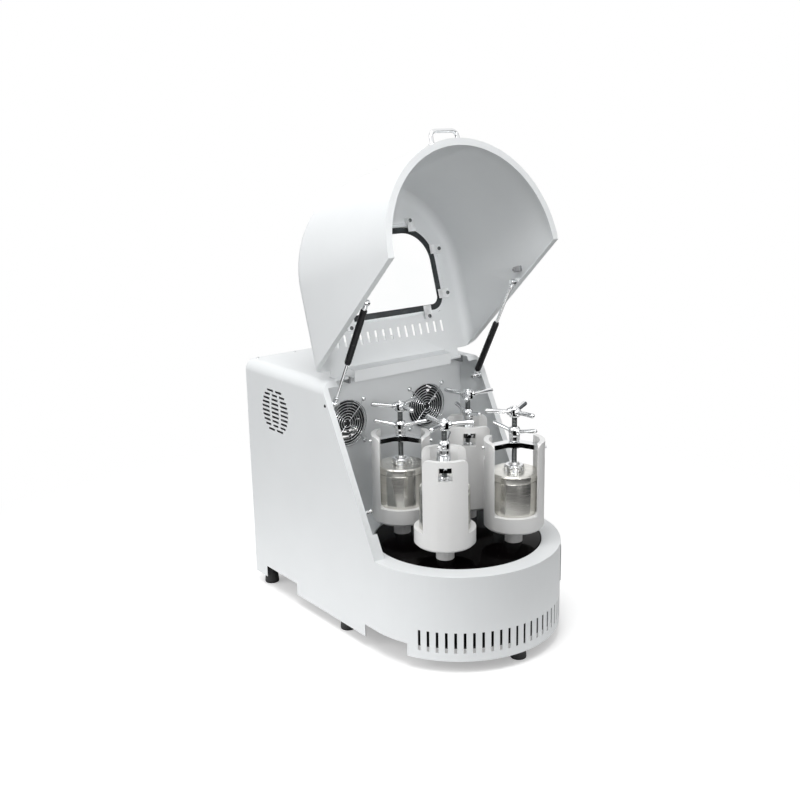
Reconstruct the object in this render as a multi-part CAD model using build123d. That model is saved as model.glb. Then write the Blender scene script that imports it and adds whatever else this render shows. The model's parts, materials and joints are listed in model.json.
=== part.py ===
"""Benchtop planetary ball mill with four clamped jars and a tilting hood, in millimetres."""

import os
from math import atan2, cos, degrees, hypot, radians, sin, tan

from build123d import *

# Housing outline
width = 470.0
depth = 758.0
sheet = 2.0
skirt_bottom = 28.0
deck_top = 222.0
roof_top = 586.0
edge_radius = 27.0
slope_run = 188.6
flange_width = 15.0
tab_reach = 41.0
tab_height = 13.0
lock_pin_z = 317.0
lock_pin_radius = 4.0
lock_pin_length = 17.0
foot_plate_reach = 27.0
foot_plate_top = 272.0
notch_top = 57.0
notch_front_reach = 88.0
notch_front_length = 131.0
notch_rear_margin = 53.0
notch_rear_length = 142.0

# Vents in the skirt and the sides
skirt_slot_count = 26
skirt_slot_step = 4.87
skirt_slot_width = 6.0
skirt_slot_low = 47.0
skirt_slot_high = 94.0
side_vent_margin = 131.0
side_vent_z = 480.0
side_vent_radius = 58.0
side_vent_rows = 10
side_vent_pitch = 10.7
side_vent_gap = 9.0
side_vent_height = 5.5

# Feet
foot_top_radius = 15.0
foot_bottom_radius = 18.0
foot_inset = 27.0
front_foot_inset = 30.0
mid_foot_reach = 150.0
rear_foot_inset = 29.0

# Turntable and gears
deck_rim = 45.0
table_gap = 1.5
table_bottom = 200.0
deck_lip_height = 12.0
pot_overhang = 7.5239
first_pot_angle = -142.0
pot_count = 4
gear_teeth = 20
gear_bottom = 172.0
gear_top = 192.0
planet_shaft_radius = 15.0
main_shaft_radius = 20.0
shaft_hub_radius = 50.0
sun_bore = 30.0
running_gap = 0.05
side_gap = 0.3

# Belt drive and motor
pulley_bottom = 70.0
pulley_top = 96.0
driven_pulley_radius = 90.0
motor_pulley_radius = 45.0
pulley_flange = 5.0
pulley_rim = 2.0
motor_radius = 62.0
motor_plate_half = 84.0
motor_plate_thickness = 6.0
terminal_box_reach = 22.0
terminal_box_half = 30.0
terminal_box_low = 50.0
terminal_box_height = 60.0
standoff_radius = 8.0
standoff_inset = 12.0
motor_bottom = 110.0
motor_top = 290.0
motor_shaft_radius = 12.0
belt_thickness = 3.0
floor_bottom = 57.0
floor_top = 60.0
bridge_bottom = 104.0
bridge_top = 112.0
bridge_radius = 150.0
bridge_boss_radius = 45.0
post_radius = 12.0
post_orbit = 132.0
post_angles = (26, 154, 222, 318)

# Pots
pot_gap = 48.8
cup_wall = 11.5
cup_bottom = 258.0
cup_floor = 266.0
cup_rim = 296.0
ear_top = 460.0
ear_corner = 14.0
slot_side = 20.5
slot_corner = 12.0
cup_chamfer = 5.0
ear_turn = 14.0
window_half = 15.0
window_drop = 12.5
window_height = 31.0
collar_radius = 20.0
jar_gap = 0.5
jar_wall = 5.5
jar_floor = 271.0
jar_lid_drop = 71.0
jar_lid_height = 17.0
jar_lid_step = 4.0
jar_lid_inset = 3.0
jar_spigot = 8.0
jar_spigot_gap = 0.2
screw_radius = 6.0
screw_foot_radius = 22.6
screw_foot_height = 14.0
foot_notch_depth = 4.0
foot_notch_width = 10.0
bar_half_depth = 13.0
bar_rise = 7.5
bar_height = 11.0
bar_end_gap = 1.5
bar_shoulder = 12.0
bar_hub_half = 14.0
bar_bolt_radius = 4.0
bar_bolt_reach = 3.5
nut_radius = 11.5
nut_lift = 8.5
nut_height = 34.0
nut_arm_radius = 4.0
nut_arm_inset = 5.5
nut_arm_rise = 21.0
nut_arm_tilt = 12.0
star_radius = 12.0
star_lift = 21.0
star_height = 24.0
star_bevel = 3.0
star_arm_radius = 4.5
star_arm_inset = 1.5
star_arm_tilt = 4.0
star_turn_front = -35.0
star_turn_right = 25.0
star_turn_rear = -14.0
star_turn_left = 18.0
nut_turn_front = 40.0
nut_turn_right = 99.0
nut_turn_rear = 77.0
nut_turn_left = 139.0

# Chamber back wall and fans
back_clearance = 25.0
fan_x = 120.0
fan_drop = 128.5
fan_hole_radius = 54.0
fan_frame_size = 120.0
fan_frame_depth = 25.0
fan_hub_radius = 20.0
fan_blade_count = 7
fan_shaft_radius = 4.0
fan_rim = 4.0
fan_spoke_half = 3.0
fan_gap = 1.5
fan_blade_length = 36.0
fan_blade_width = 20.0
fan_blade_thickness = 1.6
fan_blade_turn = 38.0
guard_ring_count = 4
guard_wire = 2.4
guard_radius = 55.0
guard_step = 13.0
guard_reach = 74.0
guard_sides = 16

# Hood and hinge
hood_open_angle = 106.73
hinge_setback = 20.2
hinge_z = 581.4
hood_gap = 0.8
slope_gap = 1.6
pin_radius = 2.5
barrel_radius = 4.5
arm_side = 47.0
arm_width = 40.0
arm_gap = 2.0
step_side_gap = 6.0
step_front = 3.6
step_corner_y = 11.6
step_corner_z = 25.4
step_tip_y = 13.9
step_tip_z = 17.5
step_sheet = 1.5
handle_z = 262.0
handle_half = 36.0
handle_out = 27.0
handle_radius = 5.0
hood_slot_count = 15
hood_slot_step = 22.0
hood_slot_width = 7.0
hood_slot_setback = 48.6
hood_slot_length = 27.0
pane_front_margin = 118.0
pane_rear_reach = 82.0
pane_side_margin = 69.0
pane_front_corner = 84.0
pane_rear_corner = 30.0
pane_overlap = 12.0
pane_thickness = 3.0
gasket_inset = 10.0
gasket_thickness = 3.0
clip_size = 22.0
clip_thickness = 3.0
clip_gap = 0.2
clip_reach = 21.0
side_clip_front = 60.0
side_clip_rear = 50.0
end_clip_inset = 52.0

# Gas springs
spring_side = 27.0
spring_low_reach = 174.0
spring_low_z = 536.0
spring_high_reach = 43.0
spring_high_z = 780.0
spring_tube_radius = 7.5
spring_tube_bore = 6.0
spring_rod_radius = 3.5
spring_eye_radius = 9.0
spring_eye_half = 6.0
spring_stud_radius = 4.0
spring_tube_length = 146.0
spring_end_gap = 16.0
spring_gland = 8.0
spring_neck_radius = 4.0
spring_neck_reach = 7.0
piston_half = 5.0
pad_gap = 17.0
pad_radius = 8.0
lock_bracket_reach = 32.0
lock_bracket_depth = 12.0
lock_bracket_width = 9.0
lock_bracket_low = 352.0
lock_bracket_high = 372.0

# Controls and inlet
panel_from = -44.0
panel_to = -12.0
panel_low = 118.0
panel_high = 202.0
panel_thickness = 1.5
button_angle = -19.0
button_z = 160.0
button_radius = 8.0
button_reach = 4.0
inlet_x = -140.0
inlet_half = 24.0
inlet_half_height = 14.0
inlet_rim = 5.0
inlet_depth = 34.0
inlet_socket_half = 14.0
inlet_socket_height = 9.0
inlet_socket_depth = 22.0
inlet_z = 120.0
rocker_x = -80.0
rocker_radius = 12.0
rocker_half = 9.0
rocker_tilt = 14.0
rocker_axle_radius = 2.0
rocker_axle_depth = 11.0
rocker_face = 9.0
rocker_ear = 2.5
rear_open_side = 35.0
rear_panel_lap = 10.0
louvre_count = 9
louvre_low = 260.0
louvre_pitch = 14.0
louvre_height = 5.0
louvre_from = 30.0
louvre_length = 120.0
rear_open_low = 80.0
rear_open_high = 400.0

# Values that follow from the ones above
half_width = width / 2
front_y = -depth / 2
rear_y = depth / 2
axis_y = front_y + half_width
wall_in = half_width - sheet
roof_front = axis_y + slope_run
back_wall_y = axis_y + half_width + back_clearance
motor_y = (back_wall_y + rear_y) / 2
fan_z = roof_top - fan_drop
table_radius = half_width - deck_rim
pot_reach = table_radius + pot_overhang
orbit_radius = (pot_reach + pot_gap / 2) / (1 + sin(radians(180 / pot_count)))
cup_radius = pot_reach - orbit_radius
cup_inner = cup_radius - cup_wall
jar_radius = cup_inner - jar_gap
jar_inner = jar_radius - jar_wall
slot_half = cup_radius - slot_side
window_high = ear_top - window_drop
window_low = window_high - window_height
jar_lid_top = ear_top - jar_lid_drop
jar_top = jar_lid_top - jar_lid_height
screw_foot_top = jar_lid_top + screw_foot_height
nut_bottom = window_high + nut_lift
nut_top = nut_bottom + nut_height
star_bottom = nut_top + star_lift
star_top = star_bottom + star_height
nut_arm_reach = cup_radius - nut_arm_inset
star_arm_reach = cup_radius - star_arm_inset
arm_outer = half_width - arm_side
arm_inner = arm_outer - arm_width
step_half = arm_inner - step_side_gap
hinge_y = roof_front + hinge_setback
hood_slot_rear = roof_front - hood_slot_setback
hood_slot_front = hood_slot_rear - hood_slot_length
pane_front = front_y + pane_front_margin
pane_rear = axis_y + pane_rear_reach
pane_half = half_width - pane_side_margin
spring_x = half_width - spring_side
spring_low_y = axis_y + spring_low_reach
spring_high_y = axis_y + spring_high_reach
pad_face_x = half_width - pad_gap
rear_open_half = half_width - rear_open_side
cutter = 2 * depth
slope_rise = roof_top - deck_top
slope_length = hypot(slope_run, slope_rise)
normal_y = slope_rise / slope_length
normal_z = -slope_run / slope_length
gear_pitch_radius = orbit_radius / 2
gear_module = 2 * gear_pitch_radius / gear_teeth
tooth_pitch = 360.0 / gear_teeth


def box(x0, x1, y0, y1, z0, z1):
    size = Box(abs(x1 - x0), abs(y1 - y0), abs(z1 - z0))
    return Pos((x0 + x1) / 2, (y0 + y1) / 2, (z0 + z1) / 2) * size


def upright(radius, z0, z1, x=0.0, y=0.0):
    return Pos(x, y, (z0 + z1) / 2) * Cylinder(radius, z1 - z0)


def cross_rod(radius, x0, x1, y, z):
    return Pos((x0 + x1) / 2, y, z) * Rot(0, 90, 0) * Cylinder(radius, abs(x1 - x0))


def depth_rod(radius, y0, y1, x, z):
    return Pos(x, (y0 + y1) / 2, z) * Rot(90, 0, 0) * Cylinder(radius, abs(y1 - y0))


def side_prism(points, x0, x1):
    """A solid with the given outline in Y and Z, from x0 to x1."""
    outline = Polyline(*[(x0, y, z) for y, z in points], close=True)
    return extrude(make_face(outline), amount=x1 - x0, dir=(1, 0, 0))


def front_prism(points, y0, y1):
    """A solid with the given outline in X and Z, from y0 to y1."""
    outline = Polyline(*[(x, y0, z) for x, z in points], close=True)
    return extrude(make_face(outline), amount=y1 - y0, dir=(0, 1, 0))


def ring(outer, inner, z0, z1, x=0.0, y=0.0):
    return upright(outer, z0, z1, x, y) - upright(inner, z0 - 1, z1 + 1, x, y)


def plan(inset, z0, z1):
    """The footprint, round in front and square behind, moved in by inset."""
    nose = upright(half_width - inset, z0, z1, 0, axis_y)
    return nose + box(-half_width + inset, half_width - inset, axis_y, rear_y - inset, z0, z1)


def arched(inset, y0, y1):
    """The cross section with its two rounded top edges, moved in by inset."""
    half = half_width - inset
    radius = edge_radius - inset
    top = roof_top - inset
    body = box(-half, half, y0, y1, skirt_bottom - 40, top - radius)
    crown = box(-half + radius, half - radius, y0, y1, top - radius - 1, top)
    left = depth_rod(radius, y0, y1, -half + radius, top - radius)
    right = depth_rod(radius, y0, y1, half - radius, top - radius)
    return body + crown + left + right


def slope_strip(shift, thickness, x0, x1, z0, z1):
    """A strip that lies in the slope, shift behind it, between two heights."""
    start = (z0 - deck_top) / slope_rise
    end = (z1 - deck_top) / slope_rise
    ya = axis_y + slope_run * start + normal_y * shift
    za = z0 + normal_z * shift
    yb = axis_y + slope_run * end + normal_y * shift
    zb = z1 + normal_z * shift
    back_y = normal_y * thickness
    back_z = normal_z * thickness
    points = [(ya, za), (yb, zb), (yb + back_y, zb + back_z), (ya + back_y, za + back_z)]
    return side_prism(points, x0, x1)


def both_sides(shape):
    return shape + mirror(shape, about=Plane.YZ)


def opened(shape):
    """Turns a shape of the closed hood to where it stands open."""
    return Pos(0, hinge_y, hinge_z) * Rot(-hood_open_angle, 0, 0) * Pos(0, -hinge_y, -hinge_z) * shape


def closed_point(y, z):
    """Where a point of the open hood lies once the hood is closed."""
    angle = radians(hood_open_angle)
    dy = y - hinge_y
    dz = z - hinge_z
    return hinge_y + dy * cos(angle) - dz * sin(angle), hinge_z + dy * sin(angle) + dz * cos(angle)


def pot_place(n):
    angle = first_pot_angle + n * 360.0 / pot_count
    x = orbit_radius * cos(radians(angle))
    y = axis_y + orbit_radius * sin(radians(angle))
    return angle, x, y


def in_pot(n, turn, shape):
    """Moves a shape made about the vertical axis to pot n and turns it."""
    angle, x, y = pot_place(n)
    return Pos(x, y, 0) * Rot(0, 0, turn) * shape


def gear(x, y, tooth_angle, bore):
    """A spur gear with straight-sided teeth, one of them at tooth_angle."""
    tip = gear_pitch_radius + 0.8 * gear_module
    root = gear_pitch_radius - gear_module
    points = []
    for k in range(gear_teeth):
        middle = radians(tooth_angle + k * tooth_pitch)
        for radius, side in ((root, -1), (tip, -1), (tip, 1), (root, 1)):
            half = 0.66 * gear_module - (radius - gear_pitch_radius) * tan(radians(20))
            angle = middle + side * half / radius
            points.append((x + radius * cos(angle), y + radius * sin(angle), gear_bottom))
    body = extrude(make_face(Polyline(*points, close=True)), amount=gear_top - gear_bottom, dir=(0, 0, 1))
    if bore:
        body -= upright(bore, gear_bottom - 1, gear_top + 1, x, y)
    return body


def housing_shell():
    side = [
        (front_y - 1, skirt_bottom),
        (front_y - 1, deck_top - sheet),
        (axis_y, deck_top - sheet),
        (axis_y, deck_top),
        (roof_front, roof_top),
        (rear_y + 1, roof_top),
        (rear_y + 1, skirt_bottom),
    ]
    outer = plan(0, skirt_bottom, roof_top) & side_prism(side, -half_width - 1, half_width + 1)
    outer &= arched(0, front_y - 1, rear_y + 1)
    inner = plan(sheet, skirt_bottom - 1, roof_top - sheet) & arched(sheet, front_y - 1, rear_y + 1)
    shell = outer - inner
    flange = slope_strip(0, sheet, half_width - flange_width, half_width, deck_top, roof_top)
    tab = slope_strip(0, sheet, half_width - tab_reach, half_width, roof_top - tab_height, roof_top)
    plate = slope_strip(0, sheet, half_width - foot_plate_reach, half_width, deck_top, foot_plate_top)
    above_deck = outer & box(-half_width, half_width, front_y, rear_y, deck_top, roof_top)
    shell += both_sides((flange + tab + plate) & above_deck)
    # Notches along the bottom edge of both sides
    front_notch = axis_y - notch_front_reach
    rear_notch = rear_y - notch_rear_margin - notch_rear_length
    for low, length in ((front_notch, notch_front_length), (rear_notch, notch_rear_length)):
        cut = box(half_width / 2, half_width + 1, low, low + length, skirt_bottom - 1, notch_top)
        shell -= both_sides(cut)
    # Upright slots round the nose
    for k in range(skirt_slot_count):
        angle = -90 + (k - (skirt_slot_count - 1) / 2) * skirt_slot_step
        cutter = box(half_width - 12, half_width + 5, -skirt_slot_width / 2, skirt_slot_width / 2,
                     skirt_slot_low, skirt_slot_high)
        shell -= Pos(0, axis_y, 0) * Rot(0, 0, angle) * cutter
    # Round patch of short slots on both sides
    for row in range(side_vent_rows):
        dz = (row - (side_vent_rows - 1) / 2) * side_vent_pitch
        chord = (side_vent_radius**2 - dz**2) ** 0.5
        count = 3 if chord > 40 else 2
        length = (2 * chord - (count - 1) * side_vent_gap) / count
        for k in range(count):
            y0 = rear_y - side_vent_margin - chord + k * (length + side_vent_gap)
            z0 = side_vent_z + dz - side_vent_height / 2
            shell -= both_sides(box(half_width - 4, half_width + 1, y0, y0 + length, z0, z0 + side_vent_height))
    # Room in the roof for the hinge arms and the step of the hood
    arm_room = box(arm_inner - arm_gap, arm_outer + arm_gap, roof_front - 5, hinge_y + 14,
                   roof_top - 6, roof_top + 1)
    shell -= both_sides(arm_room)
    shell -= box(-arm_inner, arm_inner, roof_front - 5, roof_front + 3, roof_top - 6, roof_top + 1)
    # Opening that the rear panel closes
    shell -= box(-rear_open_half, rear_open_half, rear_y - 5, rear_y + 1, rear_open_low, rear_open_high)
    # Holes for the spring studs and the start button
    stud_hole = cross_rod(spring_stud_radius, half_width - 5, half_width + 1, spring_low_y, spring_low_z)
    shell -= both_sides(stud_hole)
    shell -= radial_rod(button_radius + 0.1, half_width - 10, half_width + 10, button_angle, button_z)
    return shell


def radial_rod(radius, r0, r1, angle, z):
    """A rod that points outwards from the turntable axis."""
    rod = Pos((r0 + r1) / 2, 0, z) * Rot(0, 90, 0) * Cylinder(radius, r1 - r0)
    return Pos(0, axis_y, 0) * Rot(0, 0, angle) * rod


def deck_ring():
    low = deck_top - sheet
    nose = upright(half_width, low, deck_top, 0, axis_y)
    nose -= box(-cutter, cutter, axis_y, cutter, low - 1, deck_top + 1)
    rear = box(-wall_in, wall_in, axis_y, back_wall_y + sheet, low, deck_top)
    opening = table_radius + table_gap
    plate = nose + rear - upright(opening, low - 1, deck_top + 1, 0, axis_y)
    lip = ring(opening + sheet, opening, deck_top - deck_lip_height, low, 0, axis_y)
    return plate + lip


def chamber_back_panel():
    panel = box(-wall_in, wall_in, back_wall_y, back_wall_y + sheet, deck_top, roof_top - sheet)
    panel &= arched(sheet, back_wall_y - 1, back_wall_y + 5)
    for x in (-fan_x, fan_x):
        panel -= depth_rod(fan_hole_radius, back_wall_y - 1, back_wall_y + 5, x, fan_z)
    return panel


def rear_panel():
    front = rear_y - 2 * sheet
    half = rear_open_half + rear_panel_lap
    panel = box(-half, half, front, rear_y - sheet,
                rear_open_low - rear_panel_lap, rear_open_high + rear_panel_lap)
    for k in range(louvre_count):
        z0 = louvre_low + k * louvre_pitch
        slot = box(louvre_from, louvre_from + louvre_length, front - 1, rear_y, z0, z0 + louvre_height)
        panel -= both_sides(slot)
    panel -= box(inlet_x - inlet_half, inlet_x + inlet_half, front - 1, rear_y,
                 inlet_z - inlet_half_height, inlet_z + inlet_half_height)
    room = rocker_half + side_gap
    panel -= box(rocker_x - room, rocker_x + room, front - 1, rear_y,
                 inlet_z - rocker_radius - 1, inlet_z + rocker_radius + 1)
    # Two ears that carry the rocker's axle
    axle_y = rear_y - rocker_axle_depth
    ear_half = 3 * rocker_axle_radius
    for side in (-1, 1):
        x0 = rocker_x + side * room
        ear = box(x0, x0 + side * rocker_ear, axle_y - ear_half, front, inlet_z - ear_half, inlet_z + ear_half)
        panel += ear - cross_rod(rocker_axle_radius + running_gap, x0 - 5, x0 + 5, axle_y, inlet_z)
    return panel


def power_switch():
    """A rocker that is a round slug with two flats, on its own axle, at rest on its lower flat."""
    axle_y = rear_y - rocker_axle_depth
    slug = cross_rod(rocker_radius, rocker_x - rocker_half, rocker_x + rocker_half, axle_y, inlet_z)
    wide = 2 * rocker_radius
    cut = box(rocker_x - wide, rocker_x + wide, axle_y + rocker_face, axle_y + wide,
              inlet_z - wide, inlet_z + wide)
    tilted = Pos(0, axle_y, inlet_z) * Rot(rocker_tilt, 0, 0) * Pos(0, -axle_y, -inlet_z) * cut
    slug -= cut
    slug -= tilted
    slug -= box(rocker_x - wide, rocker_x + wide, axle_y - wide, axle_y - rocker_radius / 3,
                inlet_z - wide, inlet_z + wide)
    reach = rocker_half + rocker_ear
    return slug + cross_rod(rocker_axle_radius, rocker_x - reach, rocker_x + reach, axle_y, inlet_z)


def power_inlet():
    face = rear_y - 0.5
    half = inlet_half
    high = inlet_half_height
    body = box(inlet_x - half, inlet_x + half, rear_y - inlet_depth, face, inlet_z - high, inlet_z + high)
    half += inlet_rim
    high += inlet_rim - 1
    body += box(inlet_x - half, inlet_x + half, rear_y - sheet, face, inlet_z - high, inlet_z + high)
    half = inlet_socket_half
    high = inlet_socket_height
    return body - box(inlet_x - half, inlet_x + half, rear_y - inlet_socket_depth, rear_y + 1,
                      inlet_z - high, inlet_z + high)


def foot_places():
    side = half_width - foot_inset
    middle = axis_y + mid_foot_reach
    rear = rear_y - rear_foot_inset
    return [(0, front_y + front_foot_inset), (-side, middle), (side, middle), (-side, rear), (side, rear)]


def base_plate():
    plate = plan(sheet, floor_bottom, floor_top)
    for x, y in foot_places():
        plate += upright(foot_top_radius, skirt_bottom, floor_bottom, x, y)
    dx = motor_plate_half - standoff_inset
    dy = motor_radius - standoff_inset
    for x in (-dx, dx):
        for y in (motor_y - dy, motor_y + dy):
            plate += upright(standoff_radius, floor_top, motor_bottom - motor_plate_thickness, x, y)
    return plate


def rubber_feet():
    feet = None
    for x, y in foot_places():
        foot = Pos(x, y, skirt_bottom / 2) * Cone(foot_bottom_radius, foot_top_radius, skirt_bottom)
        feet = foot if feet is None else feet + foot
    return feet


def drive_motor():
    body = upright(motor_radius, motor_bottom, motor_top, 0, motor_y)
    half = motor_plate_half
    low = motor_bottom - motor_plate_thickness
    body += box(-half, half, motor_y - motor_radius, motor_y + motor_radius, low, motor_bottom)
    box_low = motor_bottom + terminal_box_low
    body += box(motor_radius - 8, motor_radius + terminal_box_reach, motor_y - terminal_box_half,
                motor_y + terminal_box_half, box_low, box_low + terminal_box_height)
    body -= upright(motor_shaft_radius + running_gap, low - 1, motor_bottom + 30, 0, motor_y)
    return body


def motor_pulley():
    shaft = upright(motor_shaft_radius, pulley_bottom - 4, motor_bottom + 29, 0, motor_y)
    return pulley(motor_pulley_radius, motor_y) + shaft


def pulley(radius, y):
    """A flat pulley between two flanges."""
    flange = radius + pulley_flange
    wheel = upright(radius, pulley_bottom + pulley_rim, pulley_top - pulley_rim, 0, y)
    wheel += upright(flange, pulley_bottom, pulley_bottom + pulley_rim, 0, y)
    return wheel + upright(flange, pulley_top - pulley_rim, pulley_top, 0, y)


def belt_loop(extra, z0, z1):
    """The outline round both pulleys, extra outside them."""
    big = driven_pulley_radius + extra
    small = motor_pulley_radius + extra
    span = motor_y - axis_y
    lean = (big - small) / span
    rise = (1 - lean**2) ** 0.5
    points = [
        (big * rise, axis_y + big * lean, z0),
        (small * rise, motor_y + small * lean, z0),
        (-small * rise, motor_y + small * lean, z0),
        (-big * rise, axis_y + big * lean, z0),
    ]
    middle = extrude(make_face(Polyline(*points, close=True)), amount=z1 - z0, dir=(0, 0, 1))
    return middle + upright(big, z0, z1, 0, axis_y) + upright(small, z0, z1, 0, motor_y)


def drive_belt():
    z0 = pulley_bottom + pulley_rim + 1
    z1 = pulley_top - pulley_rim - 1
    return belt_loop(running_gap + belt_thickness, z0, z1) - belt_loop(running_gap, z0 - 1, z1 + 1)


def main_shaft():
    shaft = upright(main_shaft_radius, pulley_bottom - 4, table_bottom, 0, axis_y)
    shaft += pulley(driven_pulley_radius, axis_y)
    return shaft + upright(shaft_hub_radius, gear_top + 2 * side_gap, table_bottom, 0, axis_y)


def bearing_column():
    bridge = upright(bridge_radius, bridge_bottom, bridge_top, 0, axis_y)
    bridge += upright(bridge_boss_radius, bridge_top, gear_bottom, 0, axis_y)
    bridge += upright(sun_bore, gear_bottom, gear_top, 0, axis_y)
    bridge -= upright(main_shaft_radius + running_gap, bridge_bottom - 1, gear_top + 1, 0, axis_y)
    for angle in post_angles:
        x = post_orbit * cos(radians(angle))
        y = axis_y + post_orbit * sin(radians(angle))
        bridge += upright(post_radius, floor_top, bridge_bottom, x, y)
    return bridge


def turntable():
    disc = upright(table_radius, table_bottom, deck_top, 0, axis_y)
    for n in range(pot_count):
        angle, x, y = pot_place(n)
        disc -= upright(planet_shaft_radius + running_gap, table_bottom - 1, deck_top + 1, x, y)
    return disc


def planet_gear(n):
    angle, x, y = pot_place(n)
    behind = angle % tooth_pitch
    body = gear(x, y, angle + 180 + behind + tooth_pitch / 2, 0)
    body += upright(collar_radius, gear_top, table_bottom - side_gap, x, y)
    return body + upright(planet_shaft_radius, gear_bottom, cup_bottom - 2, x, y)


def pot_holder(n):
    angle, x, y = pot_place(n)
    cup = upright(cup_radius, cup_bottom, ear_top) - upright(cup_inner, cup_floor, ear_top + 1)
    wide = 2 * cup_radius
    low = box(-wide, wide, -wide, wide, cup_bottom - 1, cup_rim)
    half = (cup_radius**2 - slot_half**2) ** 0.5
    mask = box(-wide, wide, -half, half, cup_rim - 1, ear_top - ear_corner)
    mask += box(-wide, wide, -half + ear_corner, half - ear_corner, cup_rim, ear_top)
    for side in (-1, 1):
        mask += cross_rod(ear_corner, -wide, wide, side * (half - ear_corner), ear_top - ear_corner)
    # Between the ears the cup is cut down with rounded lower corners
    gap = box(-slot_half, slot_half, -wide, wide, cup_rim + slot_corner, ear_top + 1)
    gap += box(-slot_half + slot_corner, slot_half - slot_corner, -wide, wide, cup_rim, ear_top + 1)
    for side in (-1, 1):
        gap += depth_rod(slot_corner, -wide, wide, side * (slot_half - slot_corner), cup_rim + slot_corner)
    cup &= low + mask
    cup -= gap
    cup -= box(-wide, wide, -window_half, window_half, window_low, window_high)
    edge = cup.edges().filter_by(GeomType.CIRCLE).group_by(Axis.Z)[0]
    cup = chamfer(edge, cup_chamfer)
    cup += upright(collar_radius, deck_top + side_gap, cup_bottom)
    cup -= upright(planet_shaft_radius, deck_top, cup_bottom - 2)
    return in_pot(n, angle + ear_turn, cup)


def jar(n):
    body = upright(jar_radius, cup_floor, jar_top) - upright(jar_inner, jar_floor, jar_top + 1)
    return in_pot(n, 0, body)


def jar_lid(n):
    step = jar_lid_top - jar_lid_step
    body = upright(jar_radius, jar_top, step) + upright(jar_radius - jar_lid_inset, step, jar_lid_top)
    return in_pot(n, 0, body + upright(jar_inner - jar_spigot_gap, jar_top - jar_spigot, jar_top))


def clamp_bar(n):
    angle, x, y = pot_place(n)
    low = window_high - bar_height
    end = cup_radius - bar_end_gap
    bend = end - bar_shoulder
    hub = bar_hub_half
    points = [
        (-end, low), (-end, window_high), (-bend, window_high), (-hub, window_high + bar_rise),
        (hub, window_high + bar_rise), (bend, window_high), (end, window_high), (end, low),
        (bend, low), (hub, low + bar_rise), (-hub, low + bar_rise), (-bend, low),
    ]
    bar = front_prism(points, -bar_half_depth, bar_half_depth)
    bar += upright(bar_half_depth, low + bar_rise - 2, nut_bottom - 0.1)
    bolt = cup_radius + bar_bolt_reach
    inner = end - bar_shoulder / 2
    middle = window_high - bar_height / 2
    bar += both_sides(cross_rod(bar_bolt_radius, inner, bolt, 0, middle))
    bar -= upright(screw_radius + running_gap, low - 20, ear_top)
    return in_pot(n, angle + ear_turn, bar)


def arm(radius, reach, tilt, start_z):
    rod = Pos(reach / 2, 0, 0) * Rot(0, 90, 0) * Cylinder(radius, reach)
    return Pos(0, 0, start_z) * Rot(0, -tilt, 0) * rod


def lock_nut(n):
    turn = (nut_turn_front, nut_turn_right, nut_turn_rear, nut_turn_left)[n]
    nut = upright(nut_radius, nut_bottom, nut_top)
    for k in range(2):
        nut += Rot(0, 0, 180 * k) * arm(nut_arm_radius, nut_arm_reach, nut_arm_tilt, nut_bottom + nut_arm_rise)
    nut -= upright(screw_radius + running_gap, nut_bottom - 1, nut_top + 20)
    return in_pot(n, turn, nut)


def clamp_screw(n):
    turn = (star_turn_front, star_turn_right, star_turn_rear, star_turn_left)[n]
    foot = upright(screw_foot_radius, jar_lid_top + 0.1, screw_foot_top)
    edge = screw_foot_radius
    for k in range(6):
        notch = box(edge - foot_notch_depth, edge + 1, -foot_notch_width / 2, foot_notch_width / 2,
                    jar_lid_top + 3, screw_foot_top + 1)
        foot -= Rot(0, 0, 60 * k) * notch
    screw = foot + upright(screw_radius, screw_foot_top - 1, star_bottom + 2)
    screw += upright(star_radius, star_bottom, star_top - star_bevel)
    screw += Pos(0, 0, star_top - star_bevel / 2) * Cone(star_radius, star_radius - star_bevel - 1, star_bevel)
    for k in range(3):
        handle = arm(star_arm_radius, star_arm_reach, star_arm_tilt, star_bottom + star_height / 2)
        screw += Rot(0, 0, 120 * k) * handle
    return in_pot(n, turn, screw)


def fan_frames():
    back = back_wall_y + sheet
    half = fan_frame_size / 2
    frames = None
    for x in (-fan_x, fan_x):
        frame = box(x - half, x + half, back, back + fan_frame_depth, fan_z - half, fan_z + half)
        frame -= depth_rod(half - fan_rim, back - 1, back + fan_frame_depth + 1, x, fan_z)
        far = back + fan_frame_depth
        near = far - fan_rim
        reach = half - fan_rim / 2
        frame += depth_rod(fan_hub_radius + 2, near, far, x, fan_z)
        frame += box(x - reach, x + reach, near, far, fan_z - fan_spoke_half, fan_z + fan_spoke_half)
        frame += box(x - fan_spoke_half, x + fan_spoke_half, near, far, fan_z - reach, fan_z + reach)
        frame -= depth_rod(fan_shaft_radius + running_gap, near - 1, far + 1, x, fan_z)
        frames = frame if frames is None else frames + frame
    return frames


def fan_rotor(x):
    back = back_wall_y + sheet
    near = back + fan_gap
    far = back + fan_frame_depth
    end = far - fan_rim - running_gap * 10
    rotor = depth_rod(fan_hub_radius, near, end, x, fan_z)
    rotor += depth_rod(fan_shaft_radius, near, far, x, fan_z)
    for k in range(fan_blade_count):
        middle = fan_hub_radius + fan_blade_length / 2 - 2
        shape = Box(fan_blade_thickness, fan_blade_width, fan_blade_length)
        blade = Pos(0, 0, middle) * Rot(0, 0, fan_blade_turn) * shape
        turned = Rot(0, 360 * k / fan_blade_count, 0) * blade
        rotor += Pos(x, (near + end) / 2, fan_z) * turned
    return rotor


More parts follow.
